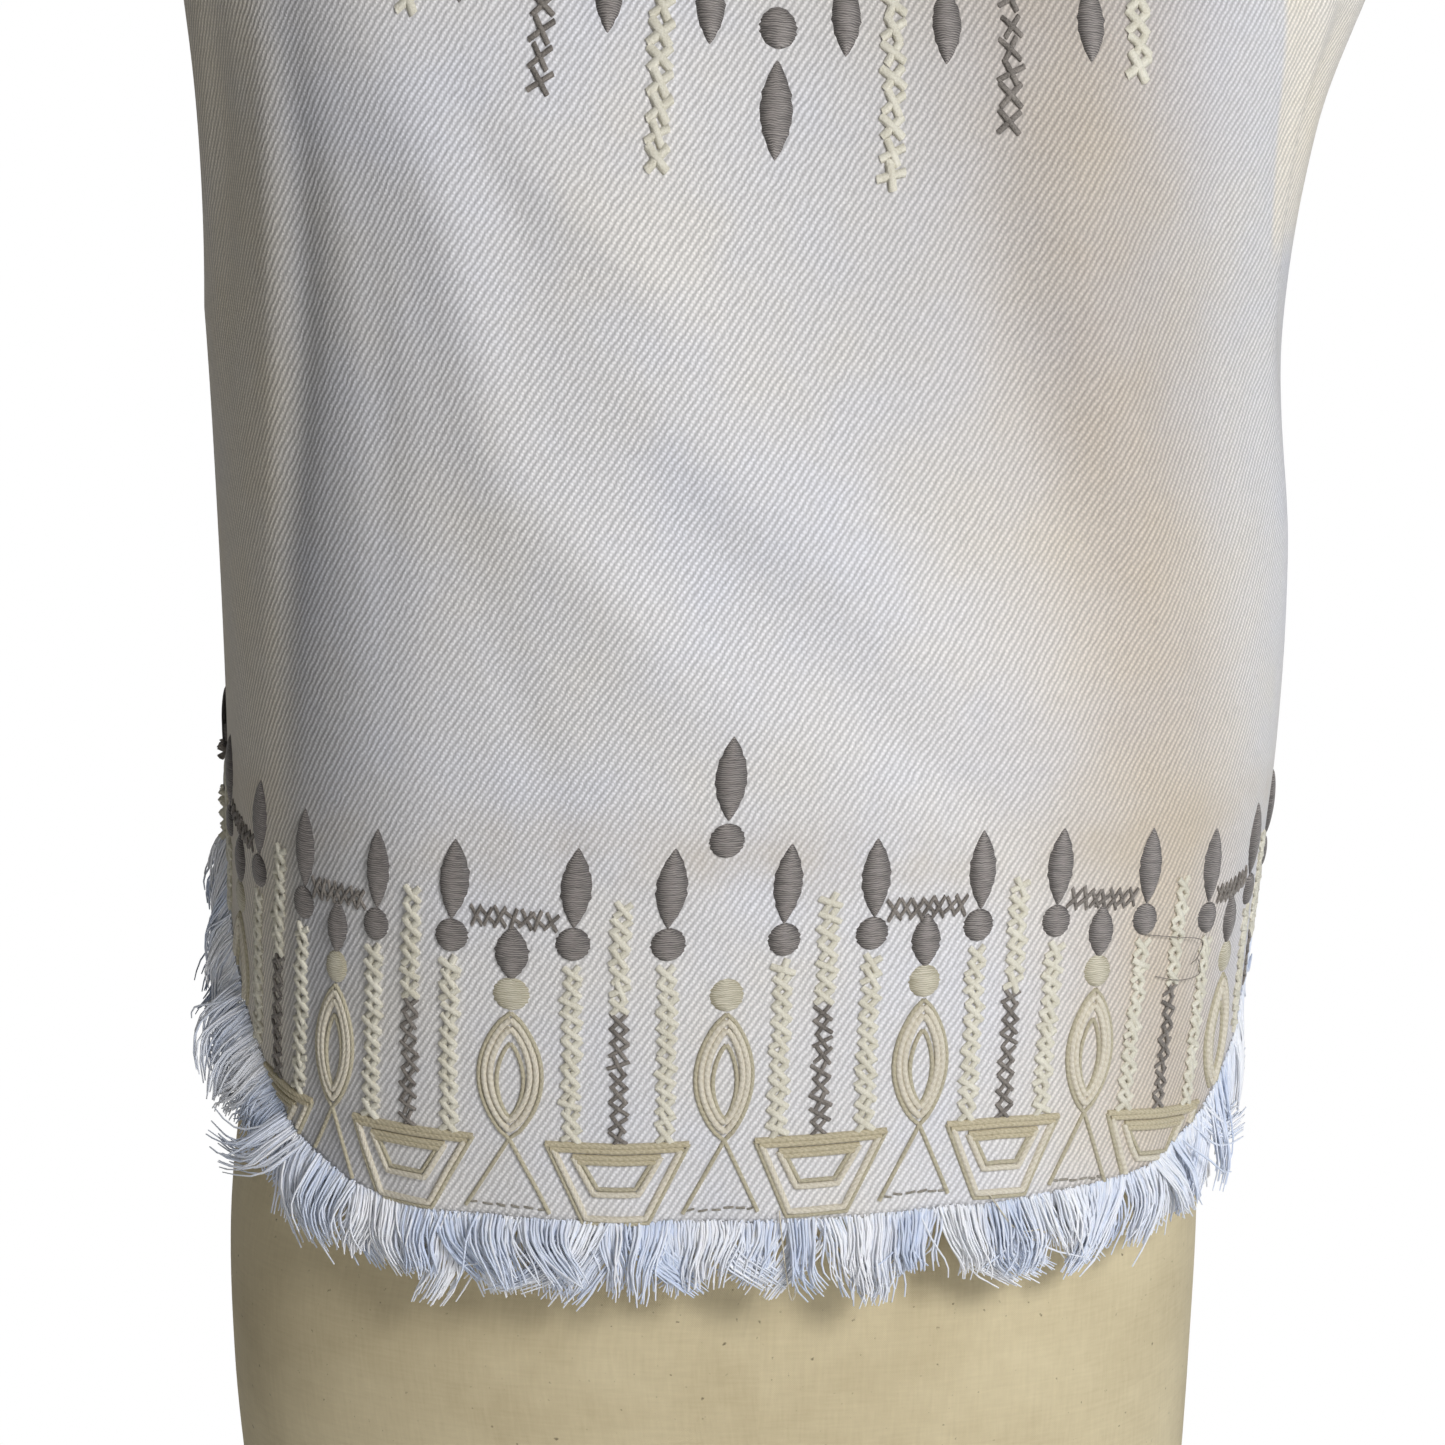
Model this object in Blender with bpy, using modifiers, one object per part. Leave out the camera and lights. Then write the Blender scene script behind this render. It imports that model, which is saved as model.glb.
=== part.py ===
# Sleeveless boxy crop top of cotton twill with a frayed hem, on a limbless dress form.
# Metres, +Z up, +X to the viewer's right, the front faces -Y.
# The origin is the centre of the form's flat base.

from collections import namedtuple
from math import cos, exp, pi, radians, sin

import bmesh
import bpy
from mathutils import Vector

OBJECT_NAME = "embroidered_crop_top"

# Cloth sizes
CLOTH_THICKNESS = 0.0012
SEAM_GAP = 0.00032
HEM_CORNER_START = radians(38)
VENT_HEIGHT = 0.092
VENT_CURVE = 1.9
FRONT_ARMHOLE = radians(16)
BACK_ARMHOLE = radians(9)
ARMHOLE_SKEW = 0.85
ARMHOLE_SQUARENESS = 0.44

# The mesh: columns round each panel, rows from hem to neck
FRONT_COLUMNS = 34
BACK_COLUMNS = 28
PANEL_ROWS = 24
FORM_COLUMNS = 40
FORM_ROWS = 30
ROW_EASING = 1.18
NORMAL_STEP = 0.01

# Fringe sizes
STRIP_GAP = 0.0003
STRIP_HEIGHT = 0.0030
LOCK_LENGTH = 0.0195
LOCK_FLARE = 0.16
LOCK_LEAN = 0.42
LOCK_ROOT_INSET = 0.00025
LOCKS_PER_COLUMN = 2
VENT_LOCK_SHARE = 0.30

# Shares of the way from the centre to the vent: the locks lean along the vent's edge in
# the first span and grow short in the second.
VENT_LEAN_START = 0.42
VENT_LEAN_SPAN = 0.50
VENT_TOP_START = 0.74
VENT_TOP_SPAN = 0.24
SWAY_FADE_POWER = 6

# Unevenness of the locks: each wave's size, turns and phase
Wave = namedtuple("Wave", "size turns phase")

LOCK_SWAYS = (Wave(0.11, 61, 0.0), Wave(0.08, 23, 1.0))
LOCK_FLARES = (Wave(0.08, 37, 0.6),)
LOCK_LENGTHS = (Wave(0.12, 2.3, 0.0), Wave(0.08, 5.1, 0.7))

# A lock's two parts: share of its length, width against the part before, droop
LockPart = namedtuple("LockPart", "length_share width droop")

LOCK_PARTS = (LockPart(0.45, 0.80, 0.0), LockPart(0.55, 0.55, 0.35))

# A ring round the body. Its height changes from the sides to the front and to the back,
# so the neck ring follows the neckline and the shoulder rings follow the shoulder slope.
# Its sides may sit a little to the right of its middle.
Section = namedtuple(
    "Section", "side_height front_height back_height half_width front_depth back_depth side_shift"
)

CLOTH_SECTIONS = (
    Section(0.170, 0.170, 0.170, 0.1520, 0.1150, 0.1200, 0.0000),
    Section(0.205, 0.205, 0.205, 0.1536, 0.1165, 0.1195, 0.0005),
    Section(0.265, 0.265, 0.265, 0.1577, 0.1200, 0.1170, 0.0013),
    Section(0.325, 0.325, 0.325, 0.1608, 0.1230, 0.1140, 0.0035),
    Section(0.385, 0.385, 0.385, 0.1617, 0.1250, 0.1110, 0.0024),
    Section(0.450, 0.440, 0.445, 0.1608, 0.1250, 0.1090, -0.0018),
    Section(0.515, 0.485, 0.500, 0.1678, 0.1190, 0.1075, -0.0002),
    Section(0.572, 0.520, 0.550, 0.1807, 0.1085, 0.1040, 0.0067),
    Section(0.606, 0.542, 0.586, 0.1806, 0.0990, 0.0960, 0.0030),
    Section(0.629, 0.557, 0.609, 0.1400, 0.0905, 0.0840, 0.0),
    Section(0.650, 0.570, 0.629, 0.0850, 0.0820, 0.0690, 0.0000),
)
HEM_STATION = 1
UNDERARM_STATION = 5
SHOULDER_STATION = 8.2
NECK_STATION = 10

FORM_SECTIONS = (
    Section(0.000, 0.000, 0.000, 0.1460, 0.0930, 0.1060, 0.0),
    Section(0.060, 0.060, 0.060, 0.1490, 0.0960, 0.1090, 0.0),
    Section(0.120, 0.120, 0.120, 0.1515, 0.0980, 0.1110, 0.0),
    Section(0.180, 0.180, 0.180, 0.1515, 0.0990, 0.1100, 0.0),
    Section(0.240, 0.240, 0.240, 0.1450, 0.0960, 0.1030, 0.0),
    Section(0.300, 0.300, 0.300, 0.1330, 0.0940, 0.0950, 0.0),
    Section(0.360, 0.360, 0.360, 0.1330, 0.1030, 0.0930, 0.0),
    Section(0.425, 0.415, 0.425, 0.1400, 0.1180, 0.0960, 0.0),
    Section(0.490, 0.455, 0.490, 0.1440, 0.1180, 0.0980, 0.0),
    Section(0.545, 0.495, 0.535, 0.1500, 0.1090, 0.0980, 0.0),
    Section(0.583, 0.525, 0.566, 0.1640, 0.1020, 0.0965, 0.0),
    Section(0.6045, 0.5400, 0.5845, 0.1680, 0.0970, 0.0945, 0.0),
    Section(0.6260, 0.5545, 0.6062, 0.1390, 0.0892, 0.0825, 0.0),
    Section(0.6470, 0.5690, 0.6265, 0.0860, 0.0806, 0.0685, 0.0),
    Section(0.6600, 0.6030, 0.6480, 0.0640, 0.0610, 0.0580, 0.0),
    Section(0.6950, 0.6680, 0.6910, 0.0560, 0.0540, 0.0530, 0.0),
    Section(0.7350, 0.7350, 0.7350, 0.0545, 0.0520, 0.0520, 0.0),
)
FORM_EDGE_RADIUS = 0.005
FORM_EDGE_STEPS = 3
SHARP_ANGLE = radians(40)

ROUNDNESS = 2.25
FRONT_DIP = 1.6
SIDE_SHIFT_POWER = 4
MEAN_RADIUS = 0.150

# Soft folds stand out from the cloth. Across is measured round the body from the centre
# front or back, to the viewer's right of each; slant leans the fold's top to the left.
# They are lower at the hem, and fade out below the shoulder and at the side seams.
HEM_FOLD_SHARE = 0.35
FOLD_END_STATION = 7.6
FOLD_FADE_SPAN = 1.6
FOLD_EDGE_POWER = 0.5

Fold = namedtuple("Fold", "across height slant half_width half_length depth")

FRONT_FOLDS = (
    Fold(-0.150, 0.480, -0.21, 0.014, 0.085, 0.0042),
    Fold(-0.092, 0.300, 0.10, 0.016, 0.070, 0.0026),
    Fold(-0.052, 0.400, 0.62, 0.020, 0.085, 0.0038),
    Fold(-0.006, 0.350, 0.88, 0.014, 0.055, 0.0034),
    Fold(0.020, 0.455, 0.72, 0.018, 0.060, 0.0030),
    Fold(0.066, 0.345, 0.74, 0.014, 0.048, 0.0036),
    Fold(0.098, 0.420, 0.34, 0.018, 0.080, 0.0030),
    Fold(0.162, 0.450, 0.40, 0.014, 0.075, 0.0042),
)
BACK_FOLDS = (
    Fold(-0.120, 0.420, 0.10, 0.016, 0.090, 0.0036),
    Fold(-0.070, 0.330, -0.30, 0.018, 0.070, 0.0030),
    Fold(-0.012, 0.470, 0.12, 0.020, 0.075, 0.0028),
    Fold(0.044, 0.360, 0.42, 0.016, 0.065, 0.0032),
    Fold(0.088, 0.450, 0.20, 0.016, 0.080, 0.0030),
    Fold(0.132, 0.340, -0.08, 0.014, 0.080, 0.0038),
)


def clear_scene():
    for scene_object in list(bpy.data.objects):
        bpy.data.objects.remove(scene_object, do_unlink=True)


def make_collection(name):
    collection = bpy.data.collections.new(name)
    bpy.context.scene.collection.children.link(collection)
    return collection


def make_material(name, color, roughness):
    material = bpy.data.materials.new(name)
    material.use_nodes = True
    shader = material.node_tree.nodes["Principled BSDF"]
    shader.inputs["Base Color"].default_value = (*color, 1.0)
    shader.inputs["Roughness"].default_value = roughness
    shader.inputs["Metallic"].default_value = 0.0
    return material


def twill_material():
    return make_material("white_twill", (0.72, 0.71, 0.69), 0.85)


def fringe_material():
    return make_material("frayed_cotton", (0.66, 0.68, 0.74), 0.90)


def linen_material():
    return make_material("linen_cover", (0.48, 0.40, 0.25), 0.80)


def section_at(sections, station):
    """Smooth section at a station, where whole stations are the table's rows."""
    last = len(sections) - 1
    station = limited(station, 0.0, float(last))
    row = min(int(station), last - 1)
    share = station - row
    before = sections[max(row - 1, 0)]
    start = sections[row]
    end = sections[row + 1]
    after = sections[min(row + 2, last)]
    values = []
    for a, b, c, d in zip(before, start, end, after):
        slope_in = (c - a) / 2
        slope_out = (d - b) / 2
        values.append(
            b
            + slope_in * share
            + (3 * (c - b) - 2 * slope_in - slope_out) * share ** 2
            + (2 * (b - c) + slope_in + slope_out) * share ** 3
        )
    return Section(*values)


def limited(value, least, most):
    return min(max(value, least), most)


def waves_at(waves, place):
    return sum(wave.size * sin(wave.turns * place + wave.phase) for wave in waves)


def signed_power(value, power):
    return abs(value) ** power if value >= 0 else -(abs(value) ** power)


def ring_point(sections, station, angle):
    """Point on a ring; the angle is 0 at the centre front and grows to the viewer's right."""
    section = section_at(sections, station)
    facing = cos(angle)
    if facing >= 0:
        depth = section.front_depth
        end_height = section.front_height
    else:
        depth = section.back_depth
        end_height = section.back_height
    x = section.half_width * signed_power(sin(angle), 2 / ROUNDNESS)
    x += section.side_shift * sin(angle) ** SIDE_SHIFT_POWER
    y = -depth * signed_power(facing, 2 / ROUNDNESS)
    z = section.side_height + (end_height - section.side_height) * abs(facing) ** FRONT_DIP
    return Vector((x, y, z))


def ring_normal(sections, station, angle):
    step = NORMAL_STEP
    along = ring_point(sections, station, angle + step) - ring_point(sections, station, angle - step)
    up = ring_point(sections, station + step, angle) - ring_point(sections, station - step, angle)
    return along.cross(up).normalized()


def seam_angle(section, depth):
    """Angle short of the side at which the panel's edge lies half a seam gap off the side."""
    return (SEAM_GAP / 2 / depth) ** (ROUNDNESS / 2)


def armhole_angle(station, largest):
    """Extra angle that the armhole takes from the panel's side."""
    if not UNDERARM_STATION < station < SHOULDER_STATION:
        return 0.0
    share = (station - UNDERARM_STATION) / (SHOULDER_STATION - UNDERARM_STATION)
    return largest * sin(pi * share ** ARMHOLE_SKEW) ** ARMHOLE_SQUARENESS


def hem_station(angle):
    """Station of the hem, which curves up to a vent at each side."""
    turn = max(abs(angle) - HEM_CORNER_START, 0.0) / (pi / 2 - HEM_CORNER_START)
    rise = VENT_HEIGHT * turn ** VENT_CURVE
    spacing = CLOTH_SECTIONS[HEM_STATION + 1].side_height - CLOTH_SECTIONS[HEM_STATION].side_height
    return HEM_STATION + rise / spacing


def fold_offset(folds, across, height):
    total = 0.0
    for fold in folds:
        run = across - fold.across
        climb = height - fold.height
        beside = run * cos(fold.slant) + climb * sin(fold.slant)
        along = climb * cos(fold.slant) - run * sin(fold.slant)
        total += fold.depth * exp(-(beside / fold.half_width) ** 2 - (along / fold.half_length) ** 2)
    return total


def cloth_point(station, angle, facing_back):
    """Inner point of the cloth. The angle is measured from the panel's own centre."""
    folds = BACK_FOLDS if facing_back else FRONT_FOLDS
    ring_angle = pi - angle if facing_back else angle
    point = ring_point(CLOTH_SECTIONS, station, ring_angle)
    normal = ring_normal(CLOTH_SECTIONS, station, ring_angle)
    hang = limited(station - HEM_STATION, HEM_FOLD_SHARE, 1.0)
    hold = limited((FOLD_END_STATION - station) / FOLD_FADE_SPAN, 0.0, 1.0)
    edge = cos(angle) ** FOLD_EDGE_POWER
    offset = fold_offset(folds, angle * MEAN_RADIUS, point.z) * hang * hold * edge
    return point + normal * offset


def side_limit(station, facing_back):
    section = section_at(CLOTH_SECTIONS, station)
    depth = section.back_depth if facing_back else section.front_depth
    armhole = BACK_ARMHOLE if facing_back else FRONT_ARMHOLE
    return pi / 2 - seam_angle(section, depth) - armhole_angle(station, armhole)


def eased(share, strength):
    """Spaces steps more closely towards 1."""
    return 1 - (1 - share) ** strength


def add_grid_surface(name, collection, columns, rows, point_at):
    """Open grid surface whose point_at takes shares across and up."""
    mesh = bpy.data.meshes.new(name)
    surface = bmesh.new()
    grid = []
    for row in range(rows + 1):
        line = [surface.verts.new(point_at(column / columns, row / rows)) for column in range(columns + 1)]
        grid.append(line)
    for row in range(rows):
        for column in range(columns):
            surface.faces.new((
                grid[row][column],
                grid[row][column + 1],
                grid[row + 1][column + 1],
                grid[row + 1][column],
            ))
    surface.to_mesh(mesh)
    surface.free()
    new_object = bpy.data.objects.new(name, mesh)
    collection.objects.link(new_object)
    return new_object


def add_panel(name, collection, material, columns, facing_back):
    def point_at(across, up):
        side = 2 * across - 1
        if facing_back:
            side = -side
        lowest = hem_station(side * side_limit(HEM_STATION, facing_back))
        station = lowest + (NECK_STATION - lowest) * eased(up, ROW_EASING)
        return cloth_point(station, side * side_limit(station, facing_back), facing_back)

    panel = add_grid_surface(name, collection, columns, PANEL_ROWS, point_at)
    if facing_back:
        panel.data.flip_normals()
    shell = panel.modifiers.new("wall", "SOLIDIFY")
    shell.thickness = CLOTH_THICKNESS
    shell.offset = 1.0
    panel.data.materials.append(material)
    panel.data.shade_smooth()
    return panel


def edge_frame(side, facing_back):
    """Hem point with the directions away from the panel, down and outwards, for side -1 to 1."""
    angle = side * side_limit(HEM_STATION, facing_back)
    station = hem_station(angle)
    ring_angle = pi - angle if facing_back else angle
    outward = ring_normal(CLOTH_SECTIONS, station, ring_angle)
    down = Vector((0, 0, -1))
    down = (down - outward * down.dot(outward)).normalized()
    return cloth_point(station, angle, facing_back), down, outward


def hem_frames(columns, facing_back):
    """Frames at the panel's own columns, so the strip follows the panel's edge."""
    sides = [2 * column / columns - 1 for column in range(columns + 1)]
    edges = [edge_frame(side, facing_back) for side in sides]
    frames = []
    for column, (point, down, outward) in enumerate(edges):
        before = edges[max(column - 1, 0)][0]
        after = edges[min(column + 1, columns)][0]
        away = (after - before).cross(outward).normalized()
        if away.dot(down) < 0:
            away = -away
        frames.append((point, away, down, outward))
    return frames


def frame_at(frames, side):
    """Frame between two columns, on the straight run from one to the next."""
    place = (side + 1) / 2 * (len(frames) - 1)
    column = min(int(place), len(frames) - 2)
    share = place - column
    return [start.lerp(end, share) for start, end in zip(frames[column], frames[column + 1])]


def lock_direction(frames, side):
    """Way a lock of the fringe hangs: down, off the form, and sideways by the vent's edge."""
    _, away, down, outward = frame_at(frames, side)
    corner = sin(pi * limited((abs(side) - VENT_LEAN_START) / VENT_LEAN_SPAN, 0.0, 1.0))
    along = away.cross(outward)
    flare = LOCK_FLARE + waves_at(LOCK_FLARES, side)
    direction = down + (away - down) * LOCK_LEAN * corner + outward * flare
    direction += along * waves_at(LOCK_SWAYS, side) * (1 - abs(side) ** SWAY_FADE_POWER)
    return direction.normalized()


def lock_length(side, number):
    """Locks differ a little in length and are short at the vent's top."""
    near_top = limited((abs(side) - VENT_TOP_START) / VENT_TOP_SPAN, 0.0, 1.0)
    uneven = 1 + waves_at(LOCK_LENGTHS, number)
    return LOCK_LENGTH * uneven * (1 - (1 - VENT_LOCK_SHARE) * near_top)


def add_fringe(name, collection, material, columns, facing_back):
    frames = hem_frames(columns, facing_back)
    locks = columns * LOCKS_PER_COLUMN
    fringe = bmesh.new()
    corners = []
    for number in range(locks + 1):
        point, away, _, outward = frame_at(frames, 2 * number / locks - 1)
        top = point + away * STRIP_GAP
        bottom = top + away * STRIP_HEIGHT
        wall = outward * CLOTH_THICKNESS
        corners.append([fringe.verts.new(p) for p in (top, top + wall, bottom + wall, bottom)])
    roots = []
    for number in range(1, locks - 1):
        here = corners[number]
        there = corners[number + 1]
        for edge in range(4):
            after = (edge + 1) % 4
            face = fringe.faces.new((here[edge], here[after], there[after], there[edge]))
            if edge == 2:
                roots.append((number, face))
    fringe.faces.new(corners[1])
    fringe.faces.new(corners[-2])
    for unused in corners[0] + corners[-1]:
        fringe.verts.remove(unused)
    bmesh.ops.recalc_face_normals(fringe, faces=fringe.faces)
    for number, face in roots:
        side = 2 * (number + 0.5) / locks - 1
        add_lock(fringe, face, lock_direction(frames, side), lock_length(side, number))
    mesh = bpy.data.meshes.new(name)
    fringe.to_mesh(mesh)
    fringe.free()
    new_object = bpy.data.objects.new(name, mesh)
    collection.objects.link(new_object)
    mesh.materials.append(material)
    return new_object


def add_lock(fringe, root, direction, length):
    """Four sided lock that leaves the strip's lower face, thins out and bends down."""
    bmesh.ops.inset_individual(fringe, faces=[root], thickness=LOCK_ROOT_INSET, depth=0.0)
    face = root
    for part in LOCK_PARTS:
        way = (direction + Vector((0, 0, -part.droop))).normalized()
        face = bmesh.ops.extrude_discrete_faces(fringe, faces=[face])["faces"][0]
        bmesh.ops.translate(fringe, verts=face.verts, vec=way * part.length_share * length)
        centre = face.calc_center_median()
        for vert in face.verts:
            vert.co = centre + (vert.co - centre) * part.width


def form_ring(station):
    angles = [2 * pi * column / FORM_COLUMNS for column in range(FORM_COLUMNS)]
    return [ring_point(FORM_SECTIONS, station, angle) for angle in angles]


def rounded_ring(ring, turn, inward):
    """Ring of a rounded edge, pulled in and moved towards the flat end as the turn shrinks."""
    inset = FORM_EDGE_RADIUS * (1 - sin(turn))
    shift = FORM_EDGE_RADIUS * (1 - cos(turn)) * inward
    points = []
    for point in ring:
        flat = Vector((point.x, point.y, 0))
        moved = point - flat.normalized() * inset
        points.append(moved + Vector((0, 0, shift)))
    return points


def form_rings():
    """Rings from the rounded edge of the flat base to that of the flat neck top."""
    last = len(FORM_SECTIONS) - 1
    turns = [pi / 2 * step / FORM_EDGE_STEPS for step in range(FORM_EDGE_STEPS + 1)]
    rings = [rounded_ring(form_ring(0), turn, 1) for turn in turns]
    rings += [form_ring(last * row / FORM_ROWS) for row in range(1, FORM_ROWS)]
    rings += [rounded_ring(form_ring(last), turn, -1) for turn in reversed(turns)]
    return rings


def add_form(collection, material):
    """Torso of rings, from the flat base over the shoulders to the flat neck top."""
    name = "dress_form"
    form = bmesh.new()
    rings = [[form.verts.new(point) for point in ring] for ring in form_rings()]
    for lower, upper in zip(rings, rings[1:]):
        for column in range(FORM_COLUMNS):
            after = (column + 1) % FORM_COLUMNS
            form.faces.new((lower[column], lower[after], upper[after], upper[column]))
    form.faces.new(list(reversed(rings[0])))
    form.faces.new(rings[-1])
    bmesh.ops.recalc_face_normals(form, faces=form.faces)
    mesh = bpy.data.meshes.new(name)
    form.to_mesh(mesh)
    form.free()
    new_object = bpy.data.objects.new(name, mesh)
    collection.objects.link(new_object)
    mesh.materials.append(material)
    mesh.shade_smooth()
    mesh.set_sharp_from_angle(angle=SHARP_ANGLE)
    return new_object


def main():
    clear_scene()
    collection = make_collection(OBJECT_NAME)
    twill = twill_material()
    frayed = fringe_material()
    add_form(collection, linen_material())
    add_panel("front_panel", collection, twill, FRONT_COLUMNS, False)
    add_panel("back_panel", collection, twill, BACK_COLUMNS, True)
    add_fringe("fringe_front", collection, frayed, FRONT_COLUMNS, False)
    add_fringe("fringe_back", collection, frayed, BACK_COLUMNS, True)


main()
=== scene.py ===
import math

import bmesh
import bpy
import numpy as np
from mathutils import Matrix, Vector


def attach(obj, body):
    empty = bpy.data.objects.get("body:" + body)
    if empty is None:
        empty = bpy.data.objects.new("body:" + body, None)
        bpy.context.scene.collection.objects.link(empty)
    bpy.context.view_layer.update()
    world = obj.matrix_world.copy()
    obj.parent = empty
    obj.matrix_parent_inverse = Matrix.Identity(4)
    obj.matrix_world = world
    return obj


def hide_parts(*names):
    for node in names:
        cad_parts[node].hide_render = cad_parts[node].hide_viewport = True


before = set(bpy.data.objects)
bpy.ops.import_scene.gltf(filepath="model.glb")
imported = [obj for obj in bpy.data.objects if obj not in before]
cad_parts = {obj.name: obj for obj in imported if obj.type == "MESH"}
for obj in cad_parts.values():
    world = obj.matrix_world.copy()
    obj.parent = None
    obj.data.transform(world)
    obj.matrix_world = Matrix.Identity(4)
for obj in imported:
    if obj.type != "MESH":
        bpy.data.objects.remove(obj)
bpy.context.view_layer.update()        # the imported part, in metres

# A boxy crop top of white twill with embroidered bands and a frayed hem, on its dress form.
# Across is measured round the body from the centre front or back, and height from the floor.

mm = 0.001

# Rings: side height, front height, back height, half width, front depth, back depth, and
# how far the sides sit to the right of the middle
clothRings = (
    (0.170, 0.170, 0.170, 0.1520, 0.1150, 0.1200, 0.0000),
    (0.205, 0.205, 0.205, 0.1536, 0.1165, 0.1195, 0.0005),
    (0.265, 0.265, 0.265, 0.1577, 0.1200, 0.1170, 0.0013),
    (0.325, 0.325, 0.325, 0.1608, 0.1230, 0.1140, 0.0035),
    (0.385, 0.385, 0.385, 0.1617, 0.1250, 0.1110, 0.0024),
    (0.450, 0.440, 0.445, 0.1608, 0.1250, 0.1090, -0.0018),
    (0.515, 0.485, 0.500, 0.1678, 0.1190, 0.1075, -0.0002),
    (0.572, 0.520, 0.550, 0.1807, 0.1085, 0.1040, 0.0067),
    (0.606, 0.542, 0.586, 0.1806, 0.0990, 0.0960, 0.0030),
    (0.629, 0.557, 0.609, 0.1400, 0.0905, 0.0840, 0.0),
    (0.650, 0.570, 0.629, 0.0850, 0.0820, 0.0690, 0.0000),
)
formRings = (
    (0.000, 0.000, 0.000, 0.1460, 0.0930, 0.1060, 0.0),
    (0.060, 0.060, 0.060, 0.1495, 0.0960, 0.1090, -0.0030),
    (0.120, 0.120, 0.120, 0.1530, 0.0980, 0.1110, -0.0052),
    (0.180, 0.180, 0.180, 0.1530, 0.0990, 0.1100, -0.0052),
    (0.240, 0.240, 0.240, 0.1455, 0.0960, 0.1030, -0.0028),
    (0.300, 0.300, 0.300, 0.1330, 0.0940, 0.0950, 0.0),
    (0.360, 0.360, 0.360, 0.1330, 0.1030, 0.0930, 0.0),
    (0.425, 0.415, 0.425, 0.1400, 0.1180, 0.0960, 0.0),
    (0.490, 0.455, 0.490, 0.1440, 0.1180, 0.0980, 0.0),
    (0.545, 0.495, 0.535, 0.1500, 0.1090, 0.0980, 0.0),
    (0.583, 0.525, 0.566, 0.1640, 0.1020, 0.0965, 0.0),
    (0.6045, 0.5400, 0.5845, 0.1680, 0.0970, 0.0945, 0.0),
    (0.6260, 0.5545, 0.6062, 0.1390, 0.0892, 0.0825, 0.0),
    (0.6470, 0.5690, 0.6265, 0.0860, 0.0806, 0.0685, 0.0),
    (0.6600, 0.6030, 0.6480, 0.0640, 0.0610, 0.0580, 0.0),
    (0.6950, 0.6680, 0.6910, 0.0560, 0.0540, 0.0530, 0.0),
    (0.7350, 0.7350, 0.7350, 0.0545, 0.0520, 0.0520, 0.0),
)

# Soft folds: across, height, slant, half width, half length, depth
frontFolds = (
    (-0.150, 0.480, -0.21, 0.014, 0.085, 0.0019),
    (-0.092, 0.300, 0.10, 0.016, 0.070, 0.0012),
    (-0.056, 0.400, 0.62, 0.020, 0.085, 0.0014),
    (-0.006, 0.350, 0.88, 0.014, 0.055, 0.0014),
    (0.002, 0.400, 0.66, 0.014, 0.060, 0.0028),
    (0.066, 0.345, 0.74, 0.014, 0.048, 0.0022),
    (0.080, 0.450, 0.31, 0.017, 0.105, 0.0042),
    (0.162, 0.450, 0.40, 0.014, 0.075, 0.0042),
)
backFolds = (
    (-0.120, 0.420, 0.10, 0.016, 0.090, 0.0036),
    (-0.070, 0.330, -0.30, 0.018, 0.070, 0.0030),
    (-0.012, 0.470, 0.12, 0.020, 0.075, 0.0028),
    (0.044, 0.360, 0.42, 0.016, 0.065, 0.0032),
    (0.088, 0.450, 0.20, 0.016, 0.080, 0.0030),
    (0.132, 0.340, -0.08, 0.014, 0.080, 0.0038),
)
# Smaller creases over the folds, in the same columns; a trough has a depth below nothing
frontCreases = (
    (-0.176, 0.500, -0.20, 0.010, 0.070, -0.0030),
    (-0.147, 0.470, -0.15, 0.007, 0.100, 0.0010),
    (-0.138, 0.450, -0.12, 0.008, 0.110, -0.0019),
    (-0.106, 0.440, 0.04, 0.007, 0.080, -0.0008),
    (-0.079, 0.470, 0.20, 0.011, 0.060, 0.0024),
    (-0.066, 0.500, 0.30, 0.006, 0.035, -0.0007),
    (-0.060, 0.345, 0.30, 0.007, 0.035, -0.0007),
    (-0.042, 0.390, 0.72, 0.010, 0.036, 0.0018),
    (-0.036, 0.477, 0.70, 0.010, 0.036, 0.0020),
    (-0.020, 0.300, 1.00, 0.006, 0.030, 0.0007),
    (-0.012, 0.398, 0.66, 0.008, 0.040, -0.0010),
    (0.030, 0.520, 0.30, 0.006, 0.030, 0.0006),
    (0.040, 0.330, 0.85, 0.006, 0.034, -0.0009),
    (0.050, 0.462, 0.31, 0.014, 0.095, -0.0026),
    (0.100, 0.360, 0.45, 0.006, 0.040, -0.0007),
    (0.122, 0.470, 0.20, 0.008, 0.070, -0.0014),
    (0.128, 0.340, 0.25, 0.007, 0.045, -0.0008),
    (0.152, 0.520, 0.10, 0.006, 0.060, 0.0032),
    (0.168, 0.525, 0.10, 0.008, 0.055, -0.0040),
)
backCreases = (
    (-0.095, 0.440, 0.12, 0.007, 0.060, -0.0012),
    (-0.045, 0.380, -0.35, 0.007, 0.050, -0.0010),
    (0.010, 0.420, 0.20, 0.006, 0.045, 0.0008),
    (0.024, 0.300, 0.60, 0.007, 0.040, -0.0009),
    (0.066, 0.430, 0.25, 0.007, 0.050, -0.0011),
    (0.110, 0.390, 0.05, 0.007, 0.060, -0.0010),
    (-0.020, 0.540, 0.40, 0.006, 0.035, 0.0007),
)

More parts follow.
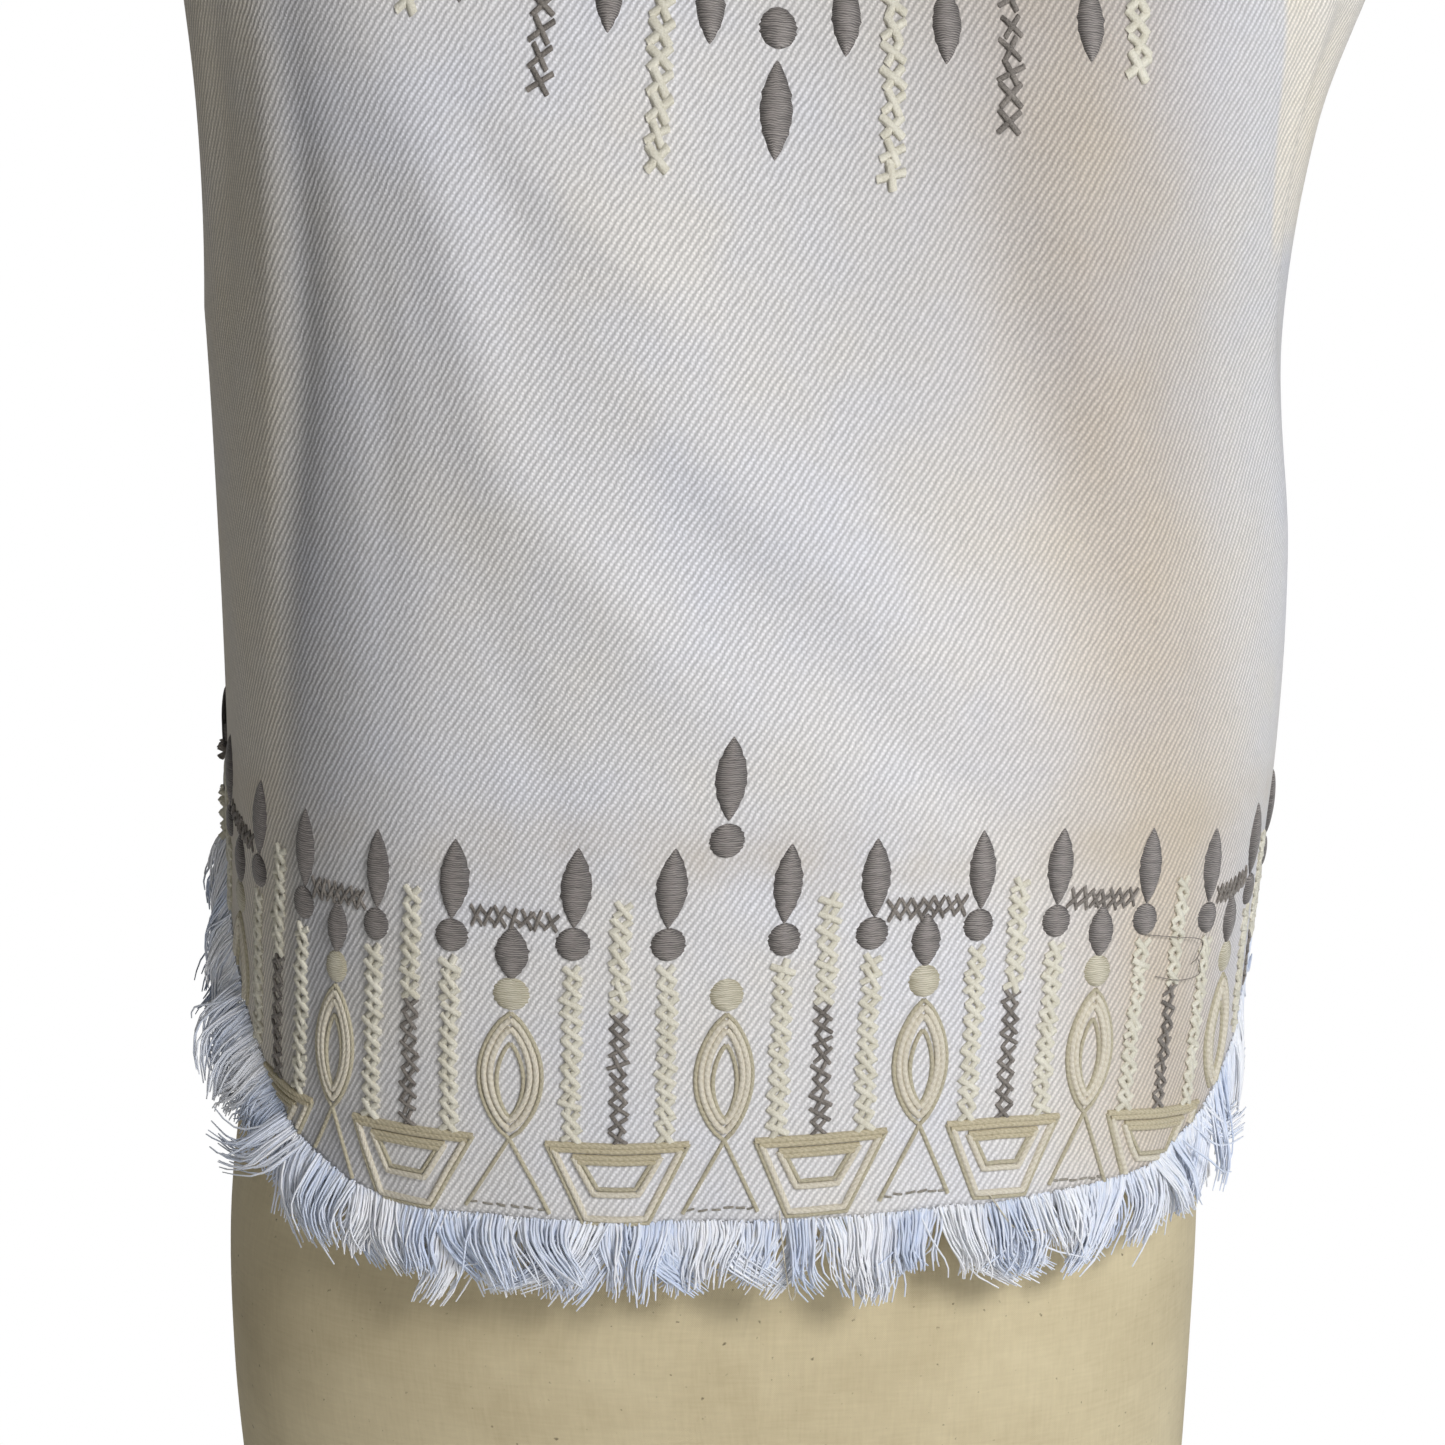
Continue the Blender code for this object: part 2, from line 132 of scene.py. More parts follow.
cut = {
    "hemStation": 1,
    "underarmStation": 5,
    "shoulderStation": 8.2,
    "neckStation": 10,
    "hemCornerStart": math.radians(38),
    "ventHeight": 0.092,
    "ventCurve": 1.9,
    "frontArmhole": math.radians(16),
    "backArmhole": math.radians(9),
    "seamGap": 0.00032,
    "roundness": 2.25,
    "frontDip": 1.6,
    "meanRadius": 0.150,
    "wall": 0.0012,
    "shell": 0.0009,
    "hemFlutter": 0.0011,
    "hemWaves": ((0.6, 118, 0.4), (0.4, 205, 2.0)),      # size, waves, phase
    "hemFade": 0.28,
    "hemDrop": 0.05,
    "hemTurn": -0.0182,      # how far the embroidery sits off the centre front at the hem
    "neckTurn": -0.0030,     # and at the neck
    "neckSqueeze": 0.030,
    "neckLift": 0.0022,
    "leftRise": (0.125, 0.220, 0.030),   # it climbs a little towards the vents
    "rightRise": (0.165, 0.250, 0.030),
    "neckTilt": -0.075,
    "hemLean": 0.0036,       # the hem hangs a little lower at the left than at the right
}

# Heights from which the worn cloth is pulled, and over how much height
pull = {
    "hem": 0.205,
    "toNeck": 0.335,
    "lowTop": 0.287,
    "lowSpan": 0.082,
    "wornTop": 0.40,
    "wornSpan": 0.08,
}
# How it is pulled at the front's hem band: across, shift, more shift at the hem, rise
frontPull = (
    (-0.150, 0.0000, 0.0000, -0.0010),
    (-0.125, -0.0010, 0.0000, -0.0020),
    (-0.100, -0.0045, 0.0010, -0.0028),
    (-0.073, -0.0052, 0.0030, -0.0024),
    (-0.050, -0.0022, 0.0040, -0.0026),
    (-0.028, -0.0008, 0.0040, -0.0022),
    (0.000, 0.0008, 0.0040, -0.0002),
    (0.028, 0.0002, 0.0020, 0.0012),
    (0.057, 0.0000, 0.0034, 0.0032),
    (0.086, -0.0012, 0.0006, 0.0034),
    (0.114, -0.0016, -0.0008, 0.0016),
    (0.135, -0.0014, -0.0030, -0.0012),
    (0.156, 0.0028, -0.0030, -0.0052),
    (0.180, 0.0000, 0.0000, -0.0052),
)


def ringRow(rings, station):     # smooth values between the table's rows
    rows = np.array(rings)
    last = len(rows) - 1
    station = np.clip(np.asarray(station, float), 0, last)
    low = np.minimum(station.astype(int), last - 1)
    share = (station - low)[..., None]
    before, start = rows[np.maximum(low - 1, 0)], rows[low]
    end, after = rows[low + 1], rows[np.minimum(low + 2, last)]
    slopeIn, slopeOut = (end - before) / 2, (after - start) / 2
    bend = 3 * (end - start) - 2 * slopeIn - slopeOut
    twist = 2 * (start - end) + slopeIn + slopeOut
    return start + slopeIn * share + bend * share ** 2 + twist * share ** 3


def ringPoint(rings, station, angle):    # the angle is 0 at the centre front
    row = ringRow(rings, station)
    sine, cosine = np.sin(angle), np.cos(angle)
    facing = cosine >= 0
    power = 2 / cut["roundness"]
    x = row[..., 3] * np.sign(sine) * np.abs(sine) ** power + row[..., 6] * sine ** 4
    y = -np.where(facing, row[..., 4], row[..., 5]) * np.sign(cosine) * np.abs(cosine) ** power
    endHeight = np.where(facing, row[..., 1], row[..., 2])
    z = row[..., 0] + (endHeight - row[..., 0]) * np.abs(cosine) ** cut["frontDip"]
    return np.stack([x, y, z], -1)


def unit(ways):
    return ways / np.linalg.norm(ways, axis=-1, keepdims=True)


def runs(points, axis):      # lengths from the first point along each row or column
    steps = np.linalg.norm(np.diff(points, axis=axis), axis=-1)
    return np.insert(np.cumsum(steps, axis), 0, 0, axis=axis)


def ringNormal(rings, station, angle, step=0.01):
    along = ringPoint(rings, station, angle + step) - ringPoint(rings, station, angle - step)
    up = ringPoint(rings, station + step, angle) - ringPoint(rings, station - step, angle)
    return unit(np.cross(along, up))


def foldLift(folds, across, height):
    total = 0
    for place, level, slant, halfWidth, halfLength, depth in folds:
        run, climb = across - place, height - level
        beside = run * math.cos(slant) + climb * math.sin(slant)
        along = climb * math.cos(slant) - run * math.sin(slant)
        total = total + depth * np.exp(-(beside / halfWidth) ** 2 - (along / halfLength) ** 2)
    return total


def clothPoint(station, angle, back, lift=0.0):      # on the outside of the cloth
    ringAngle = math.pi - angle if back else angle
    point = ringPoint(clothRings, station, ringAngle)
    normal = ringNormal(clothRings, station, ringAngle)
    across, height = angle * cut["meanRadius"], point[..., 2]
    hang = np.clip(station - cut["hemStation"], 0.35, 1)
    hold = np.clip((cut["shoulderStation"] - 0.6 - station) / 1.6, 0, 1)
    edge = np.sqrt(np.clip(np.cos(angle), 0, 1))
    folds = foldLift(backFolds if back else frontFolds, across, height)
    folds = folds + foldLift(backCreases if back else frontCreases, across, height)
    above = station - hemStation(angle, back)
    flutter = 1.0
    for size, pitch, phase in cut["hemWaves"]:
        flutter = flutter + np.sin(across * pitch + phase) * size
    flutter = flutter * cut["hemFlutter"] * np.exp(-np.clip(above, 0, 9) / cut["hemFade"])
    offset = (folds * hang * hold + flutter) * edge + cut["wall"] + lift
    return point + normal * np.asarray(offset)[..., None]


def hemSpacing():
    return clothRings[cut["hemStation"] + 1][0] - clothRings[cut["hemStation"]][0]


def hemStation(angle, back):     # the hem curves up to a vent at each side
    corner = cut["hemCornerStart"]
    turn = np.clip(np.abs(angle) - corner, 0, 9) / (math.pi / 2 - corner)
    rise = cut["ventHeight"] * turn ** cut["ventCurve"]
    rise = rise + (0 if back else cut["hemLean"] * np.sin(2 * angle))
    return cut["hemStation"] - cut["hemDrop"] + rise / hemSpacing()


def sideLimit(station, back):    # angle of the panel's own edge, at the side seam or armhole
    row = ringRow(clothRings, station)
    depth = row[..., 5] if back else row[..., 4]
    seam = (cut["seamGap"] / 2 / depth) ** (cut["roundness"] / 2)
    span = cut["shoulderStation"] - cut["underarmStation"]
    share = np.clip((station - cut["underarmStation"]) / span, 0, 1)
    largest = cut["backArmhole"] if back else cut["frontArmhole"]
    armhole = largest * np.clip(np.sin(math.pi * share ** 0.85), 0, 1) ** 0.44
    return math.pi / 2 - seam - armhole


def hemAngle(side, back):        # the side is -1 to 1 from seam to seam
    return side * sideLimit(np.full_like(side, float(cut["hemStation"])), back)


def stationsAt(height, angle, back):
    low = np.zeros_like(height)
    high = np.full_like(height, float(cut["neckStation"]))
    ringAngle = math.pi - angle if back else angle
    for _ in range(22):
        middle = (low + high) / 2
        under = ringPoint(clothRings, middle, ringAngle)[..., 2] < height
        low, high = np.where(under, middle, low), np.where(under, high, middle)
    return (low + high) / 2


def anglesAt(across, station, back):     # the angle whose arc on the ring is as long as across
    angle = across / cut["meanRadius"]
    share = np.linspace(0, 1, 25)
    for _ in range(4):
        sweep = angle[:, None] * share
        turned = math.pi - sweep if back else sweep
        run = runs(ringPoint(clothRings, station[:, None] + 0 * sweep, turned), 1)[:, -1]
        angle = np.where(run > 1e-6, angle * np.abs(across) / np.maximum(run, 1e-9), angle)
        angle = np.clip(angle, -1.54, 1.54)
    return angle


def clothSpot(across, height, back):     # station and angle of places given in flat sizes
    across, height = np.asarray(across, float), np.asarray(height, float)
    share = np.clip((height - pull["hem"]) / pull["toNeck"], 0, 1)
    turned = across
    if not back:
        places, shifts, hemShifts, rises = np.array(frontPull).T
        low = np.clip((pull["lowTop"] - height) / pull["lowSpan"], 0, 1)
        worn = np.clip((pull["wornTop"] - height) / pull["wornSpan"], 0, 1)
        pulled = np.interp(across, places, shifts) + low * np.interp(across, places, hemShifts)
        turned = across * (1 - cut["neckSqueeze"] * share) + worn * pulled
        turned = turned + cut["hemTurn"] * (1 - share) + cut["neckTurn"] * share
        height = height + worn * np.interp(across, places, rises)
        height = height + (cut["neckTilt"] * across + cut["neckLift"]) * share ** 2
    for side, (start, end, rise) in ((-1, cut["leftRise"]), (1, cut["rightRise"])):
        climbed = np.clip((side * across - start) / (end - start), 0, 1) ** 1.6
        height = height + rise * climbed * (1 - share)
    angle = turned / cut["meanRadius"]
    for _ in range(3):
        station = stationsAt(height, angle, back)
        angle = anglesAt(turned, station, back)
    return station, angle


def onCloth(across, height, back, lift=0.0):
    station, angle = clothSpot(across, height, back)
    return clothPoint(station, angle, back, lift)


def spotTurns(across, height, back, spin=0.0):    # how a stitch turns to lie on the cloth
    across, height = np.asarray(across, float), np.asarray(height, float)
    step = 1.5 * mm
    right = onCloth(across + step, height, back) - onCloth(across - step, height, back)
    up = onCloth(across, height + step, back) - onCloth(across, height - step, back)
    if back:
        right = -right
    turns = []
    for x, y, turn in zip(right, up, np.broadcast_to(spin, across.shape)):
        x, y = Vector(x).normalized(), Vector(y)
        z = x.cross(y).normalized()
        y = z.cross(x)
        basis = Matrix((x, y, z)).transposed()
        turns.append(tuple((basis @ Matrix.Rotation(turn, 3, "Z")).to_euler()))
    return turns


def insideCloth(across, height, back, margin=2.0 * mm):
    station, angle = clothSpot(across, height, back)
    aboveHem = (station - hemStation(angle, back)) * hemSpacing() > margin
    beforeEdge = (sideLimit(station, back) - np.abs(angle)) * cut["meanRadius"] > margin
    return aboveHem & beforeEdge & (station < cut["neckStation"] - 0.05)


class Value:     # a node's output that sums can be written with
    def __init__(self, tree, socket):
        self.tree, self.socket = tree, socket

    def calc(self, operation, *others):
        inputs = dict(enumerate((self, *others)))
        made = addNode(self.tree, "ShaderNodeMath", inputs, operation=operation)
        return Value(self.tree, made.outputs[0])

    def __add__(self, other):
        return self.calc("ADD", other)

    def __sub__(self, other):
        return self.calc("SUBTRACT", other)

    def __mul__(self, other):
        return self.calc("MULTIPLY", other)

    def __truediv__(self, other):
        return self.calc("DIVIDE", other)

    def __pow__(self, other):
        return self.calc("POWER", other)

    def limited(self):
        return self.calc("MAXIMUM", 0.0).calc("MINIMUM", 1.0)

    def ripple(self):    # a wave between 0 and 1, one for each whole number
        return (self * (2 * math.pi)).calc("SINE") * 0.5 + 0.5

    def bell(self, width):       # 1 at nothing, falling off on both sides
        share = self / width
        return (share * share * -1.0).calc("EXPONENT")


def setInput(tree, socket, value):
    if isinstance(value, Value):
        value = value.socket
    if isinstance(value, bpy.types.NodeSocket):
        tree.links.new(value, socket)
    elif socket.type == "RGBA" and len(value) == 3:
        socket.default_value = (*value, 1)
    else:
        socket.default_value = value


def addNode(tree, kind, inputs=None, **settings):
    made = tree.nodes.new(kind)
    for name, value in settings.items():
        setattr(made, name, value)
    for key, value in (inputs or {}).items():
        setInput(tree, made.inputs[key], value)
    return made


def weighted(values, shares, start):
    for value, share in zip(values, shares):
        start = value * share + start
    return start


def joinedVector(tree, x, y, z=0.0):
    return Value(tree, addNode(tree, "ShaderNodeCombineXYZ", {0: x, 1: y, 2: z}).outputs[0])


def carried(tree, label):        # a value that the mesh carries
    made = addNode(tree, "ShaderNodeAttribute", attribute_name=label)
    return Value(tree, made.outputs["Fac"])


def stretched(tree, vector, scale):
    return addNode(tree, "ShaderNodeMapping", {"Vector": vector, "Scale": scale}).outputs[0]


def objectPlace(tree):
    return addNode(tree, "ShaderNodeTexCoord").outputs["Object"]


def flatPlace(tree):     # the cut's own places, in metres
    uv = addNode(tree, "ShaderNodeUVMap", uv_map="cut").outputs["UV"]
    split = addNode(tree, "ShaderNodeSeparateXYZ", {0: uv})
    return uv, Value(tree, split.outputs[0]), Value(tree, split.outputs[1])


def ramp(tree, value, *stops):
    made = addNode(tree, "ShaderNodeValToRGB", {"Fac": value})
    elements = made.color_ramp.elements
    while len(elements) < len(stops):
        elements.new(0.5)
    for element, (place, color) in zip(elements, stops):
        element.position = place
        element.color = (*color, 1)
    return Value(tree, made.outputs["Color"])


def blendColors(tree, share, first, second, kind="MIX"):
    inputs = {0: share, 6: first, 7: second}
    made = addNode(tree, "ShaderNodeMix", inputs, data_type="RGBA", blend_type=kind)
    return Value(tree, made.outputs[2])


def newMaterial(name, roughness, sheen=0.0, sheenTint=(1, 1, 1), specular=0.3):
    material = bpy.data.materials.new(name)
    material.use_nodes = True
    tree = material.node_tree
    shader = tree.nodes["Principled BSDF"]
    looks = {"Roughness": roughness, "Specular IOR Level": specular, "Sheen Weight": sheen,
             "Sheen Roughness": 0.45, "Sheen Tint": sheenTint}
    for label, value in looks.items():
        setInput(tree, shader.inputs[label], value)
    return material, tree, shader


def noise(tree, vector, scale, detail=2.0, roughness=0.5):
    sizes = {"Vector": vector, "Scale": scale, "Detail": detail, "Roughness": roughness}
    return Value(tree, addNode(tree, "ShaderNodeTexNoise", sizes).outputs["Fac"])


def finishShader(tree, shader, color, height=None, distance=0.0, strength=1.0):
    setInput(tree, shader.inputs["Base Color"], color)
    if height is not None:
        sizes = {"Height": height, "Distance": distance, "Strength": strength}
        bump = addNode(tree, "ShaderNodeBump", sizes)
        setInput(tree, shader.inputs["Normal"], bump.outputs["Normal"])


twill = {
    "ribPitch": 1.75 * mm,
    "ribLean": math.radians(57),
    "floats": (2.20 * mm, 1.19 * mm),
    "warpPitch": 0.76 * mm,
    "drift": 1.5 * mm,
    "streak": (1500.0, 260.0),               # how fine across and along the ribs
    "relief": (0.55, 0.45, 0.12, 0.45, 0.20),    # rib, yarn, warp, streak, fuzz
    "reliefDepth": 0.352 * mm,
    "grooveShadeAndTone": (0.33, 0.20, 0.06, 0.33, 0.30),    # the same, for the colour: painted shade in the rib, float and warp grooves, random tone in the streaks and fuzz
    "leastShade": 0.385,
    "coolWhite": (0.715, 0.717, 0.752),
    "warmWhite": (0.745, 0.722, 0.690),
    "stain": (0.52, 0.43, 0.30),
    "stainBand": (0.311, 0.011),             # height and width
    # painted warm shade over the right of the front, made patchy by noise
    "warmShadeTint": (0.800, 0.715, 0.600),
    "warmShadePlace": (0.112, 0.360, 0.180),       # across, height, slope
    "warmShadeWidth": 0.044,
    # painted shade along the fold at the left of the front
    "leftFoldShadeTint": (0.690, 0.693, 0.702),
    "leftFoldShadePlace": (-0.142, 0.021),            # across and width
    # painted shade over the upper front, right of the middle
    "upperRightShadeTint": (0.860, 0.864, 0.872),
    "upperRightShadeFrom": (-0.030, 0.370),           # across and height
    # painted warm shade on the strip beyond the left fold
    "leftStripShadeTint": (0.960, 0.905, 0.780),
    "leftStripShadeStart": -0.146,
    # painted light: the wing beyond the right fold is made lighter and warmer
    "wingLightTint": (1.140, 1.085, 0.960),
    "wingLightPlace": (0.1560, 0.4916, 0.100),    # across, height, slope of the painted light's edge
    "wingLightDrop": 0.020,
}


def twillMaterial():
    material, tree, shader = newMaterial("whiteTwill", 0.86, sheen=0.12)
    uv, across, v = flatPlace(tree)
    u = across + (noise(tree, uv, 260.0, 3.0) - 0.5) * twill["drift"]
    sine, cosine = math.sin(twill["ribLean"]), math.cos(twill["ribLean"])
    beside, along = u * sine - v * cosine, u * cosine + v * sine
    overPitch, upPitch = twill["floats"]
    rib, warp = (beside / twill["ribPitch"]).ripple(), (u / twill["warpPitch"]).ripple()
    yarn = (u / overPitch + v / upPitch).ripple()
    fineBeside, fineAlong = twill["streak"]
    streakPlace = joinedVector(tree, beside * fineBeside, along * fineAlong)
    streak, fuzz = noise(tree, streakPlace, 1.0, 3.0, 0.6), noise(tree, uv, 2100.0, 3.0, 0.6)
    parts = (rib, rib * yarn, warp, streak, fuzz)
    tone = ramp(tree, noise(tree, uv, 14.0, 4.0, 0.55),
                (0.34, twill["coolWhite"]), (0.66, twill["warmWhite"]))
    # painted shade in the rib, float and warp grooves, with random tone from the streaks and fuzz
    shade = weighted(parts, twill["grooveShadeAndTone"], twill["leastShade"])
    shaded = blendColors(tree, 1.0, tone, shade, "MULTIPLY")
    for share, tint in paintedLightShares(tree, uv, across, v):
        tinted = blendColors(tree, 1.0, shaded, twill[tint], "MULTIPLY")
        shaded = blendColors(tree, share, shaded, tinted)
    stainHeight, stainWidth = twill["stainBand"]
    blots = ramp(tree, noise(tree, uv, 30.0, 3.0), (0.36, (0.02,) * 3), (0.70, (0.36,) * 3))
    soiled = blots * (v - stainHeight).bell(stainWidth)
    finishShader(tree, shader, blendColors(tree, soiled, shaded, twill["stain"]),
                 weighted(parts, twill["relief"], 0.0), twill["reliefDepth"], 0.56)
    return material


def paintedLightShares(tree, uv, across, v):    # where painted shade and painted light tint the cloth, and how much
    # painted warm shade over the right of the front, made patchy by noise
    warmShadeAcross, warmShadeHeight, warmShadeSlope = twill["warmShadePlace"]
    warmShade = ((v - warmShadeHeight) * warmShadeSlope + (across - warmShadeAcross)).bell(twill["warmShadeWidth"])
    warmShade = warmShade * (noise(tree, uv, 20.0, 3.0) * 0.5 + 0.7)
    # painted shade along the fold at the left of the front
    leftFoldShadeAcross, leftFoldShadeWidth = twill["leftFoldShadePlace"]
    grey = (across - leftFoldShadeAcross).bell(leftFoldShadeWidth)
    # painted shade over the upper front, right of the middle
    upperRightShadeAcross, upperRightShadeHeight = twill["upperRightShadeFrom"]
    rightward, upward = (across - upperRightShadeAcross) * 16.0, (v - upperRightShadeHeight) * 10.0
    # painted light: the wing beyond the right fold is made lighter and warmer
    wingLightAcross, wingLightHeight, wingLightSlope = twill["wingLightPlace"]
    past = ((v - wingLightHeight) * wingLightSlope + (across - wingLightAcross)) * 400.0
    over = (v - (wingLightHeight - twill["wingLightDrop"])) * 80.0
    # painted warm shade on the strip beyond the left fold
    leftStripShade = (across - twill["leftStripShadeStart"]) * -60.0
    return ((warmShade, "warmShadeTint"), (grey, "leftFoldShadeTint"),
            (rightward.limited() * upward.limited(), "upperRightShadeTint"),
            (past.limited() * over.limited(), "wingLightTint"), (leftStripShade.limited(), "leftStripShadeTint"))


linen = {
    "yarnPitch": 0.62 * mm,
    "light": (0.680, 0.590, 0.385),
    "dark": (0.525, 0.440, 0.270),
    "speck": (0.12, 0.09, 0.05),
}


def linenMaterial():
    material, tree, shader = newMaterial("linenCover", 0.72, sheen=0.10, specular=0.25)
    uv, *places = flatPlace(tree)
    turn = 2 * math.pi / linen["yarnPitch"]
    warp, weft = [(place * turn).calc("SINE") for place in places]
    slubs = [noise(tree, stretched(tree, uv, scale), 90.0, 4.0, 0.6)
             for scale in ((1, 9, 1), (9, 1, 1))]
    slub = weighted(slubs, (0.5, 0.5), 0.0)
    tone = noise(tree, uv, 16.0, 4.0, 0.6) * 0.6 + slub * 0.4
    color = ramp(tree, tone, (0.36, linen["dark"]), (0.62, linen["light"]))
    specks = ramp(tree, noise(tree, uv, 420.0), (0.70, (0.0,) * 3), (0.78, (0.8,) * 3))
    finishShader(tree, shader, blendColors(tree, specks, color, linen["speck"]),
                 warp * weft * 0.25 + slub * 0.7, 0.12 * mm, 0.7)
    return material


# Threads: dark tone, light tone, roughness
threads = {
    "greySatin": ((0.084, 0.076, 0.071), (0.330, 0.300, 0.278), 0.50),
    "seamStitch": ((0.200, 0.185, 0.150), (0.380, 0.355, 0.300), 0.66),
    "darkStitch": ((0.110, 0.098, 0.086), (0.290, 0.262, 0.232), 0.66),
    "paleStitch": ((0.600, 0.566, 0.450), (0.790, 0.762, 0.650), 0.80),
    "creamSatin": ((0.380, 0.345, 0.240), (0.700, 0.660, 0.530), 0.56),
    "tanCord": ((0.390, 0.335, 0.205), (0.640, 0.575, 0.420), 0.68),
    "creamCord": ((0.540, 0.485, 0.365), (0.800, 0.752, 0.640), 0.72),
    "khakiCord": ((0.360, 0.322, 0.218), (0.580, 0.534, 0.400), 0.72),
}


def satinMaterial(name):     # threads laid side by side across the patch
    dark, light, roughness = threads[name]
    material, tree, shader = newMaterial(name, roughness, sheen=0.10, specular=0.45)
    uv, _, v = flatPlace(tree)
    row = ((v + noise(tree, uv, 380.0) * 0.0011) / (0.62 * mm)).ripple()
    lay = noise(tree, stretched(tree, uv, (0.12, 1, 1)), 1500.0, 2.0, 0.6)
    # painted shade: darker between the thread rows and towards the patch's sides; the lay noise is random
    # tone
    tone = row * 0.42 + lay * 0.85 - carried(tree, "edge") ** 2.4 * 0.60
    finishShader(tree, shader, ramp(tree, tone, (0.25, dark), (0.80, light)),
                 lay * 0.5 + row, 0.13 * mm, 0.8)
    return material


def threadMaterial(name):    # loosely twisted thread
    dark, light, roughness = threads[name]
    material, tree, shader = newMaterial(name, roughness, sheen=0.15)
    place = objectPlace(tree)
    fine = noise(tree, place, 1900.0, 3.0, 0.6)
    tone = fine * 0.6 + noise(tree, place, 210.0) * 0.4
    finishShader(tree, shader, ramp(tree, tone, (0.36, dark), (0.62, light)),
                 fine, 0.30 * mm, 0.9)
    return material


def cordMaterial(name):      # plied cord, its plies turning round it
    dark, light, roughness = threads[name]
    material, tree, shader = newMaterial(name, roughness, sheen=0.15)
    ply = (carried(tree, "along") / (1.9 * mm) + carried(tree, "around")).ripple()
    fine = noise(tree, objectPlace(tree), 1700.0, 3.0, 0.6)
    # painted shade: darker in the grooves between the plies; the fine noise is random tone
    tone = ply * 0.20 + fine * 0.85
    finishShader(tree, shader, ramp(tree, tone, (0.22, dark), (0.80, light)),
                 fine * 1.4 + ply * 0.6, 0.20 * mm, 0.8)
    return material


frayed = {
    "shadow": (0.640, 0.715, 0.865),
    "light": (0.930, 0.940, 0.965),
}


def frayedMaterial():
    material, tree, shader = newMaterial("frayedCotton", 0.85, sheen=0.45,
                                         sheenTint=(0.9, 0.94, 1.0))
    tone = carried(tree, "tone") * 0.7 + noise(tree, objectPlace(tree), 260.0) * 0.3
    color = ramp(tree, tone, (0.15, frayed["shadow"]), (0.75, frayed["light"]))
    finishShader(tree, shader, color)
    return material


def meshObject(name, points, faces=(), edges=()):
    mesh = bpy.data.meshes.new(name)
    mesh.from_pydata([tuple(p) for p in points], list(edges), list(faces))
    made = bpy.data.objects.new(name, mesh)
    bpy.context.scene.collection.objects.link(made)
    return made


def gridFaces(columns, rows, flip=False, start=0):
    faces = []
    for row in range(rows):
        for column in range(columns):
            first = start + row * (columns + 1) + column
            face = (first, first + 1, first + columns + 2, first + columns + 1)
            faces.append(face[::-1] if flip else face)
    return faces


def addFlatMap(made, coordinates):   # UVs in metres, one for each point
    layer = made.data.uv_layers.new(name="cut")
    corners = np.empty(len(made.data.loops), int)
    made.data.loops.foreach_get("vertex_index", corners)
    layer.data.foreach_set("uv", np.asarray(coordinates, np.float32)[corners].ravel())


def rideOn(piece, slot, *nodes):
    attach(piece, "root")
    if nodes:
        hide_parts(*nodes)
    return piece


def covered(piece, material):
    piece.data.materials.append(material)
    piece.data.shade_smooth()


panels = {
    "front": {"columns": 190, "rows": 180},
    "back": {"columns": 130, "rows": 130},
}


def trimmed(values, back):       # moves the points past the armhole's edge onto it
    def within(spots):
        return sideLimit(spots[..., 0], back) - np.abs(spots[..., 1]) > -1e-7

    inside = within(values)
    rows, columns = inside.shape
    best = np.full(inside.shape, 2.0)
    moved = values.copy()
    for down in (-1, 0, 1):
        for right in (-1, 0, 1):
            y, x = np.meshgrid(np.arange(rows), np.arange(columns), indexing="ij")
            nearY, nearX = np.clip(y + down, 0, rows - 1), np.clip(x + right, 0, columns - 1)
            near = values[nearY, nearX]
            usable = ~inside & inside[nearY, nearX]
            low, high = np.zeros(inside.shape), np.ones(inside.shape)
            for _ in range(18):
                middle = (low + high) / 2
                reached = within(values + (near - values) * middle[..., None])
                low, high = np.where(reached, low, middle), np.where(reached, middle, high)
            better = usable & (high < best)
            best = np.where(better, high, best)
            moved[better] = (values + (near - values) * high[..., None])[better]
    return moved, inside


def makePanel(name, node, back, material):
    columns, rows = panels["back" if back else "front"].values()
    side = np.linspace(-1, 1, columns + 1)[None, :] * np.ones((rows + 1, 1))
    share = 1 - (1 - np.linspace(0, 1, rows + 1)[:, None] * np.ones_like(side)) ** 1.18
    angle = hemAngle(side, back)
    lowest = hemStation(angle, back)
    station = lowest + (cut["neckStation"] - lowest) * share
    points = clothPoint(station, angle, back)
    across = runs(points, 1)
    across = across - across[:, columns // 2: columns // 2 + 1]
    climb = runs(points, 0) + points[0, :, 2]
    values, inside = trimmed(np.stack([station, angle, across, climb], -1), back)
    points = clothPoint(values[..., 0], values[..., 1], back).reshape(-1, 3)
    inside = inside.ravel()
    faces = [face for face in gridFaces(columns, rows, flip=back) if inside[list(face)].any()]
    used = np.unique(np.array(faces))
    renamed = np.zeros(len(points), int)
    renamed[used] = np.arange(len(used))
    panel = meshObject(name, points[used], [tuple(int(renamed[i]) for i in face) for face in faces])
    addFlatMap(panel, values.reshape(-1, 4)[used, 2:])
    covered(panel, material)
    shell = panel.modifiers.new("shell", "SOLIDIFY")
    shell.thickness = cut["shell"]
    shell.offset = -1
    print(name, "made")
    return rideOn(panel, "twill", node)


form = {"columns": 120, "rows": 150, "edge": 0.005, "edgeSteps": 5}


